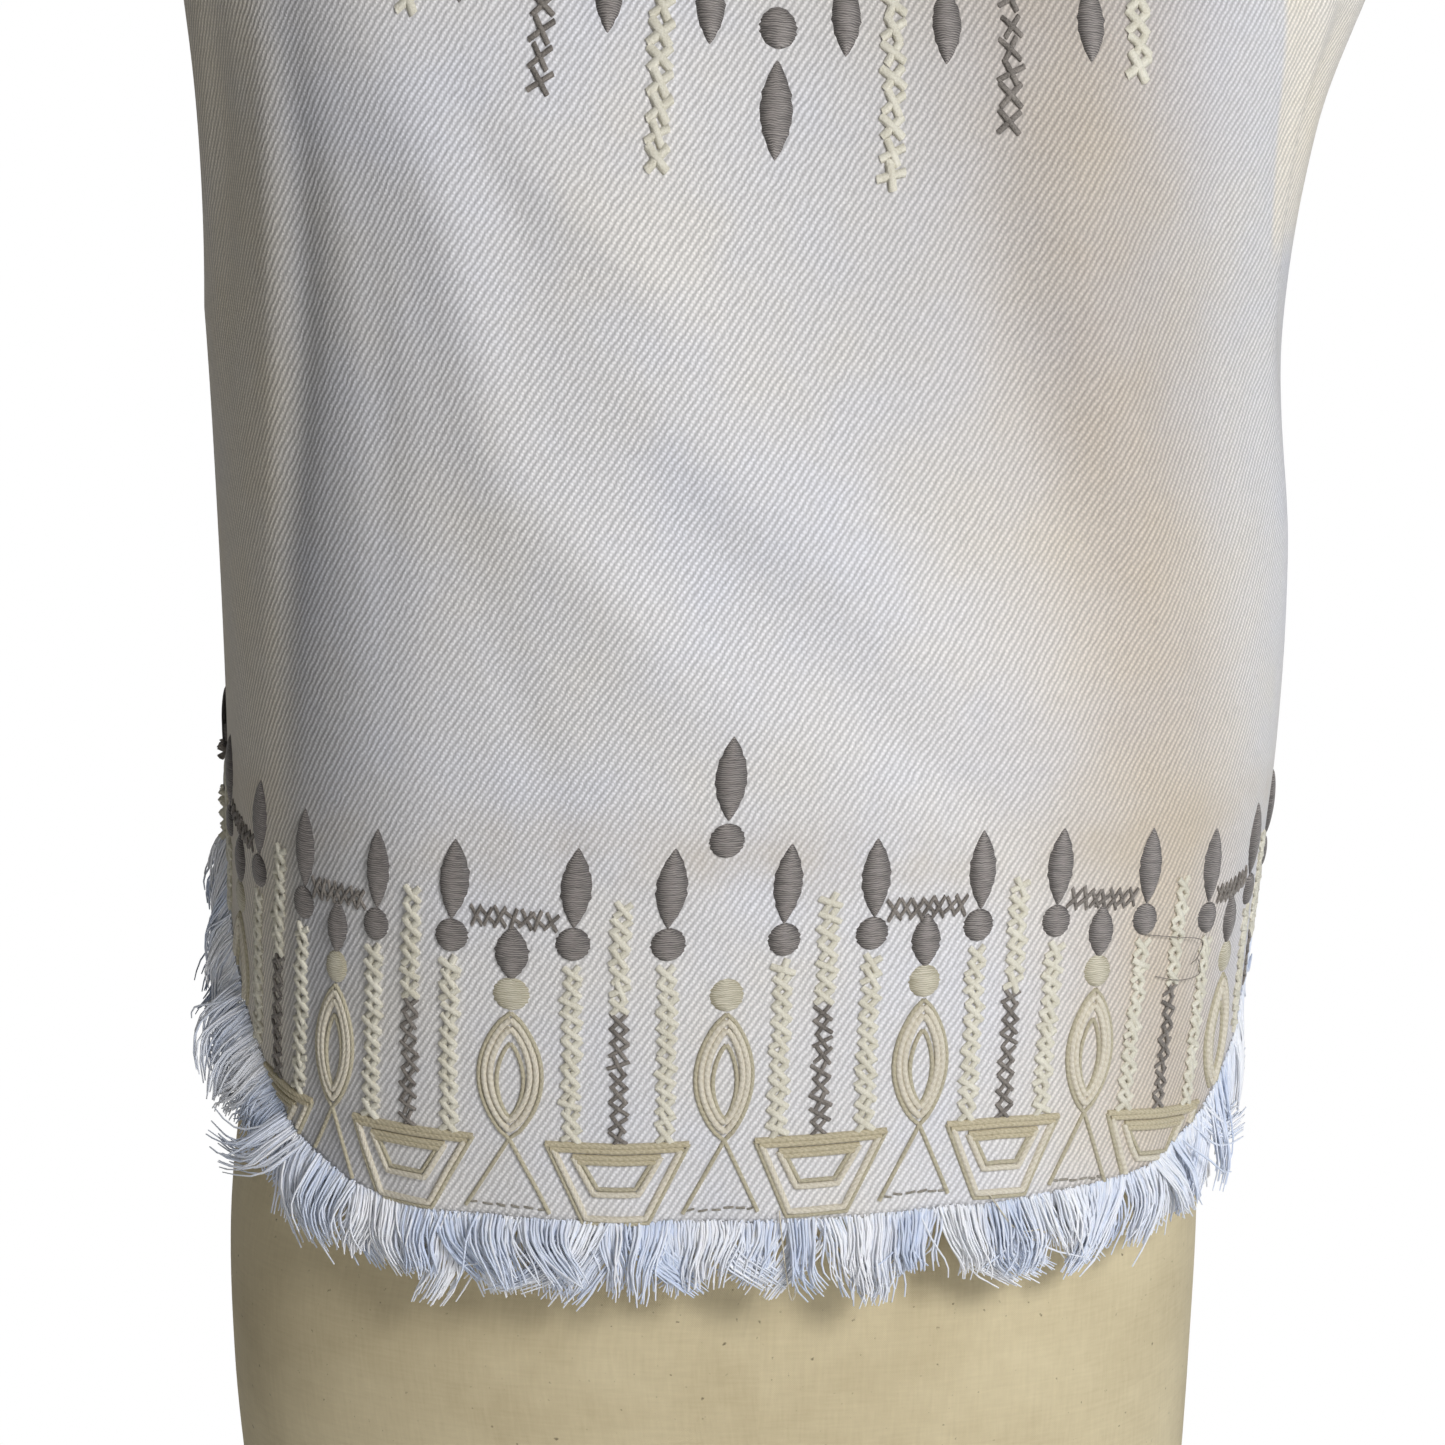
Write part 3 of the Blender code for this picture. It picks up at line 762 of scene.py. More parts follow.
def makeForm(material):
    angles = np.linspace(0, 2 * math.pi, form["columns"] + 1)
    last = len(formRings) - 1
    turns = np.linspace(0, math.pi / 2, form["edgeSteps"] + 1)
    ends = []
    for end, inward in ((0, 1), (last, -1)):     # the two ends have rounded edges
        ring = ringPoint(formRings, np.full_like(angles, float(end)), angles)
        ways = unit(ring * (1, 1, 0))
        ends.append([ring - ways * form["edge"] * (1 - math.sin(turn))
                     + np.array((0, 0, inward * form["edge"] * (1 - math.cos(turn))))
                     for turn in turns])
    between = [ringPoint(formRings, np.full_like(angles, station), angles)
               for station in np.linspace(0, last, form["rows"] + 1)[2:-2]]
    points = np.array(ends[0] + between + ends[1][::-1])
    cover = meshObject("linenForm", points.reshape(-1, 3), gridFaces(form["columns"], len(points) - 1))
    addFlatMap(cover, np.stack([runs(points, 1), runs(points, 0)], -1).reshape(-1, 2))
    closeForm(cover)
    covered(cover, material)
    cover.data.set_sharp_from_angle(angle=math.radians(50))
    rideOn(cover, "linen", "dress_form")
    print("form made")


def closeForm(cover):    # joins the first and last columns and fills the two ends
    shape = bmesh.new()
    shape.from_mesh(cover.data)
    bmesh.ops.remove_doubles(shape, verts=shape.verts, dist=1e-6)
    bmesh.ops.holes_fill(shape, edges=[e for e in shape.edges if e.is_boundary])
    bmesh.ops.recalc_face_normals(shape, faces=shape.faces)
    shape.to_mesh(cover.data)
    shape.free()


# The hem band, in metres from the hem; the repeat follows the body
band = {
    "hem": 0.205,
    "repeat": 0.0573,
    "pair": 0.0160,              # half the distance between the two petals over a lens
    "petal": (0.0044, 0.0119),   # half width, half height
    "petalLevel": 0.0980,
    "dot": (0.0049, 0.0049),
    "dotLevel": 0.0817,
    "hangLevel": 0.0780,
    "hangPetal": (0.0046, 0.0082),
    "barLevel": 0.0880,
    "barPitch": 0.0033,
    "topDotLevel": 0.0660,
    "topDot": (0.0050, 0.0049),
    "markDotLevel": 0.1112,
    "markLevel": 0.1290,
    "markSide": -0.0022,
    "markPetal": (0.0045, 0.0124),
    "markDot": (0.0050, 0.0050),
    "lens": (0.0081, 0.0604, 0.0225),       # half width, top, crossing
    "innerLens": (0.0034, 0.0513, 0.0288),
    "foot": (0.0108, 0.0008),                # half width and level of the foot
    "column": (0.0230, 0.0750),
    "midColumn": (0.0225, 0.0615, 0.0945),  # foot, change of colour, top
    "boat": ((0.0193, 0.0220), (0.0088, -0.0012)),   # half width and level, top then bottom
    "innerBoat": ((0.0118, 0.0185), (0.0060, 0.0075)),
    "crossPitch": 0.0045,
}


bandLenses = [n * band["repeat"] for n in range(-4, 5)]
bandMiddles = [(n + 0.5) * band["repeat"] for n in range(-4, 4)]


# Neck yoke: across, kind, lowest level, highest level. What the photo's edge hides goes up
# to the neckline. Levels are heights over the floor at the centre front.
neckYoke = (
    (0.0000, "petal", 0.5000, 0.5265),
    (0.0000, "dot", 0.5345, 0.5345),
    (0.0190, "petal", 0.5285, 0.5500),
    (0.0325, "pale", 0.4950, 0.5600),
    (0.0475, "petal", 0.5290, 0.5510),
    (0.0660, "dark", 0.5120, 0.5640),
    (0.0900, "petal", 0.5330, 0.5550),
    (0.1050, "pale", 0.5300, 0.5800),
)


satin = {
    "columns": 10,
    "rows": 18,
    "petalDome": 1.9 * mm,
    "dotDome": 1.7 * mm,
    "topDotDome": 1.3 * mm,
    "sunk": 0.25 * mm,
    "yokePetals": (0.0048, 0.0043),      # half widths in the middle and beside it
    "yokeDot": (0.0055, 0.0055),
}


def petal(across, height, sizes, lean=0.0):
    return across, height, sizes, True, satin["petalDome"], lean


def dot(across, height, sizes, dome=satin["dotDome"]):
    return across, height, sizes, False, dome, 0.0


def satinPatch(across, height, sizes, pointed, dome, lean):
    halfWidth, halfHeight = sizes
    columns, rows = satin["columns"], satin["rows"]
    u = np.linspace(-1, 1, columns + 1)[None, :] * np.ones((rows + 1, 1))
    v = np.linspace(-0.995, 0.995, rows + 1)[:, None] * np.ones_like(u)
    outline = np.cos(v * math.pi / 2) ** 0.85 if pointed else np.sqrt(1 - v ** 2)
    ragged = 1 + 0.05 * np.sin(v * 23 + across * 900) + 0.03 * np.sin(v * 41 + height * 700)
    x = u * halfWidth * outline * ragged
    y = v * halfHeight
    lift = dome * np.sqrt(np.clip(1 - u ** 2, 0, 1)) * outline ** 0.6 - satin["sunk"]
    x, y = x * math.cos(lean) + y * math.sin(lean), y * math.cos(lean) - x * math.sin(lean)
    flat = np.stack([across + u * halfWidth, height + v * halfHeight], -1)
    # painted shade: the edge value darkens each patch towards its sides, most at the lower left and the
    # upper right, as shading round the dome
    edge = np.clip(0.25 + 0.75 * (u * 0.8 + 0.2 * v) * np.sign(u), 0, 1)
    return across + x.ravel(), height + y.ravel(), lift.ravel(), edge.ravel(), flat.reshape(-1, 2)


def makeSatin(name, patches, back, material):
    made, faces, start = [], [], 0
    for patch in patches:
        parts = satinPatch(*patch)
        if insideCloth(parts[0], parts[1], back, 0.5 * mm).all():
            faces += gridFaces(satin["columns"], satin["rows"], flip=back, start=start)
            start += len(parts[0])
            made.append(parts)
    across, height, lift, edge, flat = [np.concatenate(values) for values in zip(*made)]
    patchwork = meshObject(name, onCloth(across, height, back, lift), faces)
    addFlatMap(patchwork, flat)
    addValues(patchwork, "edge", "FLOAT", edge)
    covered(patchwork, material)
    return rideOn(patchwork, "twill")


def greyPatches(back):
    patches = []
    hem = band["hem"]
    for number, across in enumerate(bandLenses):
        lean = 0.04 * math.sin(number * 2.1)
        for place in (across - band["pair"], across + band["pair"]):
            patches.append(petal(place, hem + band["petalLevel"], band["petal"], lean))
            patches.append(dot(place, hem + band["dotLevel"], band["dot"]))
        if abs(across) > 1 * mm:
            patches.append(petal(across, hem + band["hangLevel"], band["hangPetal"]))
        else:
            across = across + band["markSide"]
            patches.append(petal(across, hem + band["markLevel"], band["markPetal"]))
            patches.append(dot(across, hem + band["markDotLevel"], band["markDot"]))
    rise = neckRise(back)
    for across, kind, low, high in neckYoke:
        halfWidth = satin["yokePetals"][0 if across == 0 else 1]
        for place in ((-across, across) if across > 0 else (across,)):
            if kind == "petal":
                sizes = (halfWidth, (high - low) / 2)
                patches.append(petal(place, (low + high) / 2 + rise, sizes))
            if kind == "dot":
                patches.append(dot(place, low + rise, satin["yokeDot"]))
    return patches


def neckRise(back):      # the back's yoke sits higher, at its shallower neck
    return 0.052 if back else 0.0


def creamPatches():
    level = band["hem"] + band["topDotLevel"]
    return [dot(across, level, band["topDot"], satin["topDotDome"]) for across in bandLenses]


# Stitches are made by Geometry Nodes on points that carry turn, size and tone
def geometryTree(name, *labels):
    tree = bpy.data.node_groups.new(name, "GeometryNodeTree")
    tree.interface.new_socket("Geometry", in_out="INPUT", socket_type="NodeSocketGeometry")
    tree.interface.new_socket("Geometry", in_out="OUTPUT", socket_type="NodeSocketGeometry")
    for label in labels:
        tree.interface.new_socket(label, in_out="INPUT", socket_type="NodeSocketFloat")
    tree.interface.new_socket("Material", in_out="INPUT", socket_type="NodeSocketMaterial")
    start = addNode(tree, "NodeGroupInput")
    return tree, start, [Value(tree, start.outputs[label]) for label in labels]


def finishTree(tree, start, shape):
    real = addNode(tree, "GeometryNodeRealizeInstances", {0: shape})
    smooth = addNode(tree, "GeometryNodeSetShadeSmooth", {0: real.outputs[0]})
    colored = addNode(tree, "GeometryNodeSetMaterial", {
        "Geometry": smooth.outputs[0], "Material": start.outputs["Material"]})
    addNode(tree, "NodeGroupOutput", {"Geometry": colored.outputs[0]})
    return tree


def pointVector(tree, label):
    made = addNode(tree, "GeometryNodeInputNamedAttribute", {"Name": label},
                   data_type="FLOAT_VECTOR")
    return made.outputs["Attribute"]


def stored(tree, geometry, label, value):
    inputs = {"Geometry": geometry, "Name": label, "Value": value}
    return addNode(tree, "GeometryNodeStoreNamedAttribute", inputs,
                   data_type="FLOAT", domain="POINT").outputs[0]


def circle(tree, radius, sides):
    inputs = {"Resolution": sides, "Radius": radius}
    return addNode(tree, "GeometryNodeCurvePrimitiveCircle", inputs).outputs["Curve"]


def tubeAlong(tree, curve, profile, closed=True):
    inputs = {"Curve": curve, "Profile Curve": profile, "Fill Caps": closed}
    return addNode(tree, "GeometryNodeCurveToMesh", inputs)


def strand(tree, width, height, arch, radius, lean):
    places = [joinedVector(tree, width * sign, height * (sign * lean), arch * lift)
              for sign, lift in ((-1.0, 0.0), (0.0, 2.0), (1.0, 0.0))]
    curve = addNode(tree, "GeometryNodeCurveQuadraticBezier",
                    {"Resolution": 5, "Start": places[0], "Middle": places[1], "End": places[2]})
    return tubeAlong(tree, curve.outputs["Curve"], circle(tree, radius, 5)).outputs["Mesh"]


def stitchTree(name, crossed):
    labels = ("Half Width", "Half Height", "Arch", "Thread Radius")
    tree, start, (width, height, arch, radius) = geometryTree(name, *labels)
    stitch = strand(tree, width, height, arch, radius, 1.0)
    if crossed:
        joined = addNode(tree, "GeometryNodeJoinGeometry", {0: stitch})
        setInput(tree, joined.inputs[0], strand(tree, width, height, arch * 1.7, radius, -1.0))
        stitch = joined.outputs[0]
    points = addNode(tree, "GeometryNodeMeshToPoints", {"Mesh": start.outputs["Geometry"]})
    placed = addNode(tree, "GeometryNodeInstanceOnPoints", {
        "Points": points.outputs[0], "Instance": stitch,
        "Rotation": pointVector(tree, "turn"), "Scale": pointVector(tree, "size")})
    return finishTree(tree, start, placed.outputs[0])


def cordTree(name):
    tree, start, (radius,) = geometryTree(name, "Cord Radius")
    curve = addNode(tree, "GeometryNodeMeshToCurve", {"Mesh": start.outputs["Geometry"]})
    run = addNode(tree, "GeometryNodeSplineParameter")
    kept = stored(tree, curve.outputs[0], "along", run.outputs["Length"])
    profile = stored(tree, circle(tree, radius, 7), "around", run.outputs["Factor"])
    return finishTree(tree, start, tubeAlong(tree, kept, profile).outputs[0])


def fringeTree(name):
    tree, start, (radius,) = geometryTree(name, "Thread Radius")
    curve = addNode(tree, "GeometryNodeMeshToCurve", {"Mesh": start.outputs["Geometry"]})
    run = addNode(tree, "GeometryNodeSplineParameter")
    thin = Value(tree, run.outputs["Factor"]) ** 3.0 * -0.45 + 1.0
    shaped = addNode(tree, "GeometryNodeSetCurveRadius", {"Curve": curve.outputs[0], "Radius": thin})
    tube = tubeAlong(tree, shaped.outputs[0], circle(tree, radius, 4), closed=False)
    if "Scale" in tube.inputs:
        setInput(tree, tube.inputs["Scale"], thin)
    return finishTree(tree, start, tube.outputs[0])


def bakeTree(source, tree, values, name):    # a plain mesh from points or paths
    modifier = source.modifiers.new(tree.name, "NODES")
    modifier.node_group = tree
    for item in tree.interface.items_tree:
        if item.in_out == "INPUT" and item.name in values:
            modifier[item.identifier] = values[item.name]
    bpy.context.view_layer.update()
    shape = source.evaluated_get(bpy.context.evaluated_depsgraph_get())
    mesh = bpy.data.meshes.new_from_object(shape)
    source.modifiers.remove(modifier)
    made = bpy.data.objects.new(name, mesh)
    made.data.name = name
    bpy.context.scene.collection.objects.link(made)
    bpy.data.objects.remove(source)
    return made


def addValues(made, label, kind, values):
    attribute = made.data.attributes.new(label, kind, "POINT")
    field = "vector" if kind == "FLOAT_VECTOR" else "value"
    attribute.data.foreach_set(field, np.asarray(values, np.float32).ravel())


crossStitch = {
    "halfWidth": 2.40 * mm,
    "halfHeight": 2.30 * mm,
    "arch": 0.42 * mm,
    "darkThread": 0.70 * mm,
    "paleThread": 1.14 * mm,
    "flat": 0.64,
    "yokeSize": (1.12, 1.40),
    "barSize": (1.14, 0.74),
}
runningStitch = {"halfWidth": 1.3 * mm, "halfHeight": 0.0, "thread": 0.40 * mm, "arch": 0.30 * mm}


def makeStitches(name, spots, back, material, kind, thread):
    random = np.random.default_rng(len(name) * 31 + len(spots))
    spots = np.array(spots)
    spots = spots[insideCloth(spots[:, 0], spots[:, 1], back)]
    count = len(spots)
    spots[:, :2] += random.normal(0, 0.20 * mm, (count, 2))
    points = onCloth(spots[:, 0], spots[:, 1], back, 0.05 * mm)
    source = meshObject(name + "Points", points)
    spin = spots[:, 2] + random.normal(0, 0.17, count)
    addValues(source, "turn", "FLOAT_VECTOR", spotTurns(spots[:, 0], spots[:, 1], back, spin))
    size = random.uniform(0.88, 1.12, (count, 3)) * (1, 1, crossStitch["flat"])
    size[:, :2] *= spots[:, 3:5]
    addValues(source, "size", "FLOAT_VECTOR", size)
    sizes = {"Half Width": kind["halfWidth"], "Half Height": kind["halfHeight"],
             "Arch": kind["arch"], "Thread Radius": kind[thread], "Material": material}
    print(name, count)
    tree = stitchTree(name + "Nodes", kind is crossStitch)
    return rideOn(bakeTree(source, tree, sizes, name), "twill")


def columnSpots(across, low, high, size=(1.0, 1.0)):
    count = max(2, round((high - low) / (band["crossPitch"] * size[1])))
    step = (high - low) / count
    return [(across, low + (n + 0.5) * step, 0.0, *size) for n in range(count)]


def paleSpots(back):
    hem = band["hem"]
    spots = []
    low, high = band["column"]
    for across in bandLenses:
        for place in (across - band["pair"], across + band["pair"]):
            spots += columnSpots(place, hem + low, hem + high)
    _, change, top = band["midColumn"]
    for across in bandMiddles:
        spots += columnSpots(across, hem + change, hem + top)
    return spots + yokeSpots("pale", back)


def darkSpots(back):
    hem = band["hem"]
    spots = []
    low, change, _ = band["midColumn"]
    for across in bandMiddles:
        spots += columnSpots(across, hem + low, hem + change)
    for across in bandLenses:
        if abs(across) > 1 * mm:
            spots += [(across + n * band["barPitch"], hem + band["barLevel"], math.pi / 2,
                       *crossStitch["barSize"]) for n in range(-3, 4)]
    return spots + yokeSpots("dark", back)


def yokeSpots(kind, back):
    spots = []
    rise = neckRise(back)
    for across, named, low, high in neckYoke:
        for place in ((-across, across) if named == kind else ()):
            spots += columnSpots(place, low + rise, high + rise, crossStitch["yokeSize"])
    return spots


def runningSpots():
    half, level = band["foot"]
    level = band["hem"] + level + 1.2 * mm
    return [(across - half + 2 * half * (n + 0.5) / 6, level, 0.0, 1.0, 1.0)
            for across in bandLenses for n in range(6)]


def pathPoints(corners, step=1.6 * mm):      # evenly spaced places along straight runs
    places = []
    for (x0, y0), (x1, y1) in zip(corners, corners[1:]):
        count = max(1, round(math.hypot(x1 - x0, y1 - y0) / step))
        places += [(x0 + (x1 - x0) * n / count, y0 + (y1 - y0) * n / count) for n in range(count)]
    return places + [corners[-1]]


def lensPath(across, lens, side, inward=(0.0, 0.0, 0.0), steps=16):
    half, top, foot = [size + change for size, change in zip(lens, inward)]
    shares = [n / steps for n in range(steps + 1)]
    return [(across + side * half * math.sin(math.pi * share) ** 0.72,
             band["hem"] + top + (foot - top) * share) for share in shares]


def boatPath(across, boat, inward):      # round a boat, moved in by a distance
    (topHalf, top), (footHalf, foot) = boat
    hem = band["hem"]
    left, right = across - topHalf + 1.5 * inward, across + topHalf - 1.5 * inward
    footLeft, footRight = across - footHalf + 0.6 * inward, across + footHalf - 0.6 * inward
    return pathPoints([(left, hem + top - inward), (footLeft, hem + foot + inward),
                       (footRight, hem + foot + inward), (right, hem + top - inward)])


def cordPaths(kind):
    hem = band["hem"]
    reach, level = band["foot"]
    crossing = hem + band["lens"][2]
    paths = []
    for across in bandLenses:
        for side in (-1, 1):
            if kind == "khakiCord":
                leg = pathPoints([(across, crossing), (across - side * reach, hem + level)])
                paths.append(lensPath(across, band["lens"], side) + leg[1:])
                paths.append(lensPath(across, band["innerLens"], side))
            if kind == "creamCord":
                paths += [lensPath(across, band["lens"], side, inward) for inward in cord["fillings"]]
    for across in bandMiddles:
        if kind != "tanCord":
            outer, inner = cord["boatInward"][kind]
            paths.append(boatPath(across, band["boat"], outer))
            paths.append(boatPath(across, band["innerBoat"], inner))
            continue
        for (half, top), _ in (band["boat"], band["innerBoat"]):
            for drop in (0.0, 1.4 * mm):
                ends = [(across - half + drop, hem + top - drop), (across + half - drop, hem + top - drop)]
                paths.append(pathPoints(ends))
    return paths


cord = {
    "khakiCord": 0.66 * mm,
    "creamCord": 1.00 * mm,
    "tanCord": 1.00 * mm,
    "lift": 0.10 * mm,
    # How far the fillings move in from the lens (half width, top, crossing) and the boats
    "fillings": ((-1.4 * mm, -1.9 * mm, 2.6 * mm), (-3.0 * mm, -4.6 * mm, 5.4 * mm)),
    "boatInward": {"khakiCord": (0.0, 1.6 * mm), "creamCord": (1.4 * mm, 0.0)},
}


def bakeCords(name, points, edges, material, radius):
    source = meshObject(name + "Paths", points, (), edges)
    sizes = {"Cord Radius": radius, "Material": material}
    return rideOn(bakeTree(source, cordTree(name + "Nodes"), sizes, name), "twill")


def makeCords(name, paths, back, material, radius):
    places, edges = [], []
    for path in paths:
        before = False
        for place, inside in zip(path, insideCloth(*np.array(path).T, back, 0.4 * mm)):
            if inside:
                places.append(place)
                if before:
                    edges.append((len(places) - 2, len(places) - 1))
            before = inside
    print(name, len(paths))
    points = onCloth(*np.array(places).T, back, cord["lift"])
    return bakeCords(name, points, edges, material, radius)


fringe = {
    "strands": 3600,
    "steps": 7,
    "length": 0.0245,
    "lockPitch": 0.0110,
    "radius": 0.38 * mm,
    "gather": 0.36,
    "wave": 0.075,
    "flare": 0.34,
    "tuftPitch": 0.034,
    "backShare": 0.8,
    "overShare": 0.4,
    "strayShare": 0.04,
    "lockBends": ((0, 0.16), (0.12, 0.50)),                  # middle and spread of lean and bend
    "lockLimits": ((0.72, 1.10), (0.2, 1.5), (0, 6.28)),     # length, flare, phase of the wave
    "topDepths": (-0.3 * mm, 1.2 * mm),
    "topLifts": (-0.3 * mm, 0.9 * mm),
}
# How the fringe hangs round a hem: side, lean away from the cloth, flare, length
fringeHang = (
    (-1.00, 0.10, 0.9, 0.80),
    (-0.92, 0.30, 1.5, 0.95),
    (-0.84, 0.80, 1.7, 1.10),
    (-0.76, 0.95, 1.6, 1.25),
    (-0.66, 0.75, 1.2, 1.20),
    (-0.50, 0.30, 1.0, 1.00),
    (0.00, 0.00, 1.0, 0.95),
    (0.50, 0.20, 1.0, 1.00),
    (0.68, 0.25, 0.8, 1.15),
    (0.80, 0.15, 0.5, 1.05),
    (0.92, 0.00, -0.5, 0.75),
    (1.00, 0.00, -0.7, 0.60),
)


def hemFrame(side, back):    # hem points with the ways away from the panel, down and outwards
    angle = hemAngle(side, back)
    station = hemStation(angle, back)
    point = clothPoint(station, angle, back, -0.5 * mm)
    outward = ringNormal(clothRings, station, math.pi - angle if back else angle)
    down = unit(np.array((0, 0, -1.0)) - outward * (-outward[:, 2:3]))
    ends = []
    for step in (-0.004, 0.004):
        turn = hemAngle(np.clip(side + step, -1, 1), back)
        ends.append(clothPoint(hemStation(turn, back), turn, back))
    along = unit(ends[1] - ends[0])
    away = np.cross(along, outward)
    away = unit(away * np.sign((away * down).sum(1, keepdims=True)))
    return point, along, away, down, outward


def makeFringe(name, node, back, material):
    random = np.random.default_rng(11 + back)
    count = int(fringe["strands"] * (fringe["backShare"] if back else 1))
    side = np.sort(random.uniform(-0.995, 0.995, count))
    dense = np.linspace(-1, 1, 400)
    run = runs(hemFrame(dense, back)[0], 0)
    place = np.interp(side, dense, run)
    locks = int(run[-1] / fringe["lockPitch"])
    middles = (np.arange(locks) + 0.5 + random.uniform(-0.35, 0.35, locks)) * run[-1] / locks
    reach = place[:, None] + random.normal(0, 0.22 * fringe["lockPitch"], count)[:, None]
    lock = np.abs(reach - middles[None, :]).argmin(1)
    over = random.uniform(0, 1, count) < fringe["overShare"]     # these lie over the others
    lock = np.where(over, lock + locks, lock)
    pulled = np.concatenate([middles, middles])[lock] - place
    lean, bend = [random.normal(*spread, 2 * locks)[lock] for spread in fringe["lockBends"]]
    lockLength, lockFlare, wavePhase = [random.uniform(*limits, 2 * locks)[lock]
                                        for limits in fringe["lockLimits"]]
    lockFlare = lockFlare * np.where(over, 1.5, 0.7)
    wavePhase = wavePhase + random.normal(0, 0.35, count)
    point, along, away, down, outward = hemFrame(side, back)
    places, leans, flares, lengths = np.array(fringeHang).T
    length = fringe["length"] * lockLength * random.uniform(0.80, 1.08, count)
    length = length * np.interp(side, places, lengths) * np.where(over, 0.86, 1.0)
    stray = random.uniform(0, 1, count) < fringe["strayShare"]
    way = unit(down + (away - down) * np.interp(side, places, leans)[:, None])
    flare = fringe["flare"] * lockFlare * random.uniform(0.7, 1.2, count)
    flare = flare * np.interp(side, places, flares)
    lean = lean + random.normal(0, 0.030, count) + stray * random.normal(0, 0.25, count)
    bend = bend + random.normal(0, 0.05, count) + stray * random.normal(0, 0.35, count)
    tops = point - away * random.uniform(*fringe["topDepths"], count)[:, None]
    tops = tops + outward * random.uniform(*fringe["topLifts"], count)[:, None]
    rows = []
    steps = fringe["steps"]
    for share in np.arange(steps) / (steps - 1):
        wave = fringe["wave"] * np.sin(share * 6.5 + wavePhase) * share
        sway = lean * share + bend * share ** 2 * 0.7 + wave
        beside = pulled * fringe["gather"] * share ** 0.8 + length * sway
        outwards = length * flare * (1.5 * share - 0.9 * share ** 2)
        fall = length * share * (1 - 0.10 * np.abs(bend) * share)
        rows.append(tops + way * fall[:, None] + along * beside[:, None] + outward * outwards[:, None])
    points = np.stack(rows, 1).reshape(-1, 3)
    edges = [(start + n, start + n + 1) for start in range(0, count * steps, steps)
             for n in range(steps - 1)]
    source = meshObject(name + "Paths", points, (), edges)
    tuft = np.sin(place * 2 * math.pi / fringe["tuftPitch"] + 0.6 * np.sin(place * 61)) * 0.22
    tone = random.normal(0.52, 0.14, count) + random.normal(0, 0.20, 2 * locks)[lock] + tuft
    addValues(source, "tone", "FLOAT", np.repeat(np.clip(tone, 0, 1), steps))
    sizes = {"Thread Radius": fringe["radius"], "Material": material}
    print(name, count)
    hanging = bakeTree(source, fringeTree(name + "Nodes"), sizes, name)
    return rideOn(hanging, "frayed_cotton", node)


# Loose threads: across, height and distance off the cloth along each
looseGrey = (
    ((0.131, 0.2820, 0.5), (0.140, 0.2815, 1.4), (0.149, 0.2810, 2.0), (0.1520, 0.2795, 2.2),
     (0.1510, 0.2750, 1.8), (0.1495, 0.2725, 0.8)),
    ((0.137, 0.2690, 0.5), (0.145, 0.2680, 1.6), (0.152, 0.2695, 2.0), (0.1530, 0.2725, 1.2),
     (0.1525, 0.2745, 0.4)),
)
loosePale = (
    ((0.0175, 0.2060, 1.0), (0.0190, 0.1930, 4.0), (0.0215, 0.1800, 4.5), (0.0240, 0.1850, 4.5),
     (0.0275, 0.1880, 4.0)),
    ((0.082, 0.2050, 1.0), (0.090, 0.1950, 4.0), (0.0975, 0.1945, 5.5), (0.1000, 0.1925, 5.5),
     (0.0960, 0.1915, 5.5), (0.0920, 0.1940, 5.0)),
)
looseThreads = (
    ("looseGrey", looseGrey, "darkStitch", 0.13 * mm),
    ("loosePale", loosePale, "creamCord", 0.22 * mm),
)


def makeLoose(name, paths, material, radius):
    places, edges = [], []
    for path in paths:
        spots = ringRow(path, np.arange((len(path) - 1) * 8 + 1) / 8)    # rounds the bends
        edges += [(len(places) + n, len(places) + n + 1) for n in range(len(spots) - 1)]
        places.extend(spots)
    across, height, lift = np.array(places).T
    points = onCloth(across, height, False, lift * mm)
    return bakeCords(name, points, edges, material, radius)


def dressSide(label, back, materials):
    title = label.capitalize()
    panel = makePanel(label + "Cloth", label + "_panel", back, materials["twill"])
    worked = [makeSatin("grey" + title, greyPatches(back), back, materials["greySatin"]),
              makeSatin("cream" + title, creamPatches(), back, materials["creamSatin"])]
    for name, spots, material, kind, thread in (
            ("paleCross", paleSpots(back), "paleStitch", crossStitch, "paleThread"),
            ("darkCross", darkSpots(back), "darkStitch", crossStitch, "darkThread"),
            ("running", runningSpots(), "seamStitch", runningStitch, "thread")):
        worked.append(makeStitches(name + title, spots, back, materials[material], kind, thread))
    for kind in ("khakiCord", "creamCord", "tanCord"):
        worked.append(makeCords(kind + title, cordPaths(kind), back, materials[kind], cord[kind]))
    worked.append(makeFringe("fringe" + title, "fringe_" + label, back, materials["frayed"]))
    if not back:
        for name, paths, material, radius in looseThreads:
            worked.append(makeLoose(name, paths, materials[material], radius))
    print(label, "dressed")


def makeMaterials():
    made = {"twill": twillMaterial(), "linen": linenMaterial(), "frayed": frayedMaterial()}
    for make, names in ((satinMaterial, ("greySatin", "creamSatin")),
                        (threadMaterial, ("darkStitch", "paleStitch", "seamStitch")),
                        (cordMaterial, ("tanCord", "creamCord", "khakiCord"))):
        made.update({name: make(name) for name in names})
    return made


studio = {
    "lens": 88.5,
    "azimuth": 5.0,
    "pitch": 11.9,
    "roll": 1.08,
    "distance": 0.977,
    "target": (-0.0168, -0.125, 0.3498),
    "floor": (0.92, 0.92, 0.92),
}
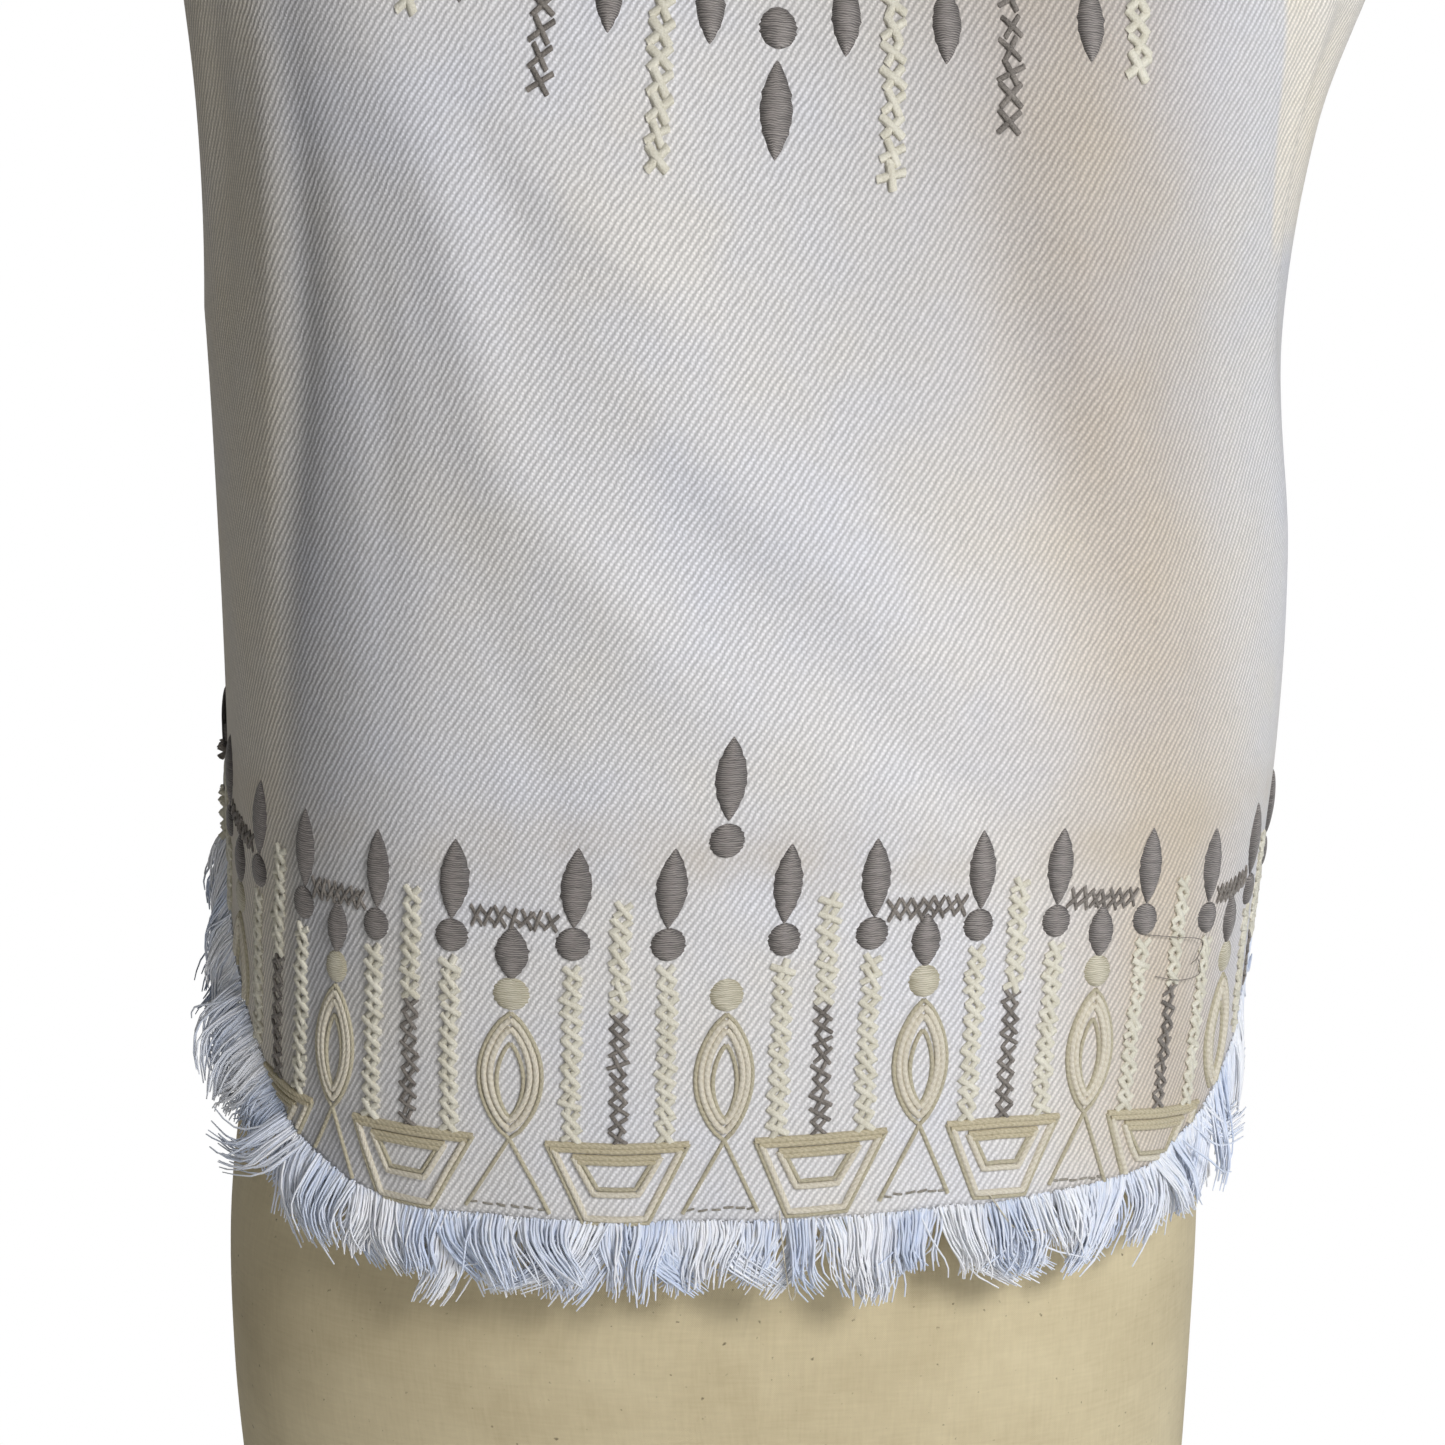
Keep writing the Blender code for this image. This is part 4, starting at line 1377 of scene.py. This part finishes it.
# Lights: name, place, size, power, colour, and what some aim at
lights = (
    ("key", (0.75, -1.50, 1.20), (0.5, 0.5), 23.4, (0.98, 0.98, 1.0)),
    ("rim", (1.75, -0.10, 0.60), (1.0, 1.2), 4.9, (0.80, 0.89, 1.0)),
    ("left", (-1.3, -1.6, 0.50), (1.2, 1.2), 1.8, (1.0, 0.97, 0.90)),
    ("low", (0.30, -1.40, 0.10), (1.2, 0.4), 2.6, (1.0, 0.99, 0.98), (0, 0, 0.20)),
    ("behind", (-0.5, 1.9, 1.0), (1.2, 1.2), 9, (1.0, 0.98, 0.95)),
)


def makeCamera():
    camera = bpy.data.cameras.new("camera")
    camera.lens = studio["lens"]
    camera.sensor_width = 36
    seat = bpy.data.objects.new("camera", camera)
    azimuth, pitch = math.radians(studio["azimuth"]), math.radians(studio["pitch"])
    level = math.cos(pitch)
    forward = Vector((math.sin(azimuth) * level, math.cos(azimuth) * level, -math.sin(pitch)))
    seat.location = Vector(studio["target"]) - forward * studio["distance"]
    turn = forward.to_track_quat("-Z", "Y").to_matrix().to_4x4()
    roll = Matrix.Rotation(math.radians(studio["roll"]), 4, "Z")
    seat.rotation_euler = (turn @ roll).to_euler()
    bpy.context.scene.collection.objects.link(seat)
    bpy.context.scene.camera = seat


def addLight(name, place, size, power, color, target=(0, 0, 0.36)):
    lamp = bpy.data.lights.new(name, "AREA")
    lamp.shape = "RECTANGLE"
    lamp.size, lamp.size_y = size
    lamp.energy = power
    lamp.color = color
    seat = bpy.data.objects.new(name, lamp)
    seat.location = place
    seat.rotation_euler = (Vector(target) - Vector(place)).to_track_quat("-Z", "Y").to_euler()
    bpy.context.scene.collection.objects.link(seat)


def makeStudio():
    corners = [(-6, -6, 0), (6, -6, 0), (6, 6, 0), (-6, 6, 0)]
    floor = meshObject("floor", corners, [(0, 1, 2, 3)])
    material, tree, shader = newMaterial("paleFloor", 0.9)
    setInput(tree, shader.inputs["Base Color"], studio["floor"])
    seen = addNode(tree, "ShaderNodeLightPath").outputs["Is Camera Ray"]
    glow = addNode(tree, "ShaderNodeEmission", {"Color": (1, 1, 1), "Strength": 1.0})
    mixed = addNode(tree, "ShaderNodeMixShader", {0: seen, 1: shader.outputs[0], 2: glow.outputs[0]})
    setInput(tree, tree.nodes["Material Output"].inputs["Surface"], mixed.outputs[0])
    floor.data.materials.append(material)
    for light in lights:
        addLight(*light)
    world = bpy.data.worlds.new("studioAir")
    bpy.context.scene.world = world
    world.use_nodes = True
    tree = world.node_tree
    tree.nodes.clear()
    seen = Value(tree, addNode(tree, "ShaderNodeLightPath").outputs["Is Camera Ray"])
    strength = seen * 0.93 + 0.07
    air = addNode(tree, "ShaderNodeBackground", {"Color": (1, 1, 1), "Strength": strength})
    addNode(tree, "ShaderNodeOutputWorld", {"Surface": air.outputs[0]})
    bpy.context.scene.view_settings.view_transform = "Standard"
    print("studio made")


materials = makeMaterials()
makeForm(materials["linen"])
dressSide("front", False, materials)
dressSide("back", True, materials)
makeStudio()
makeCamera()
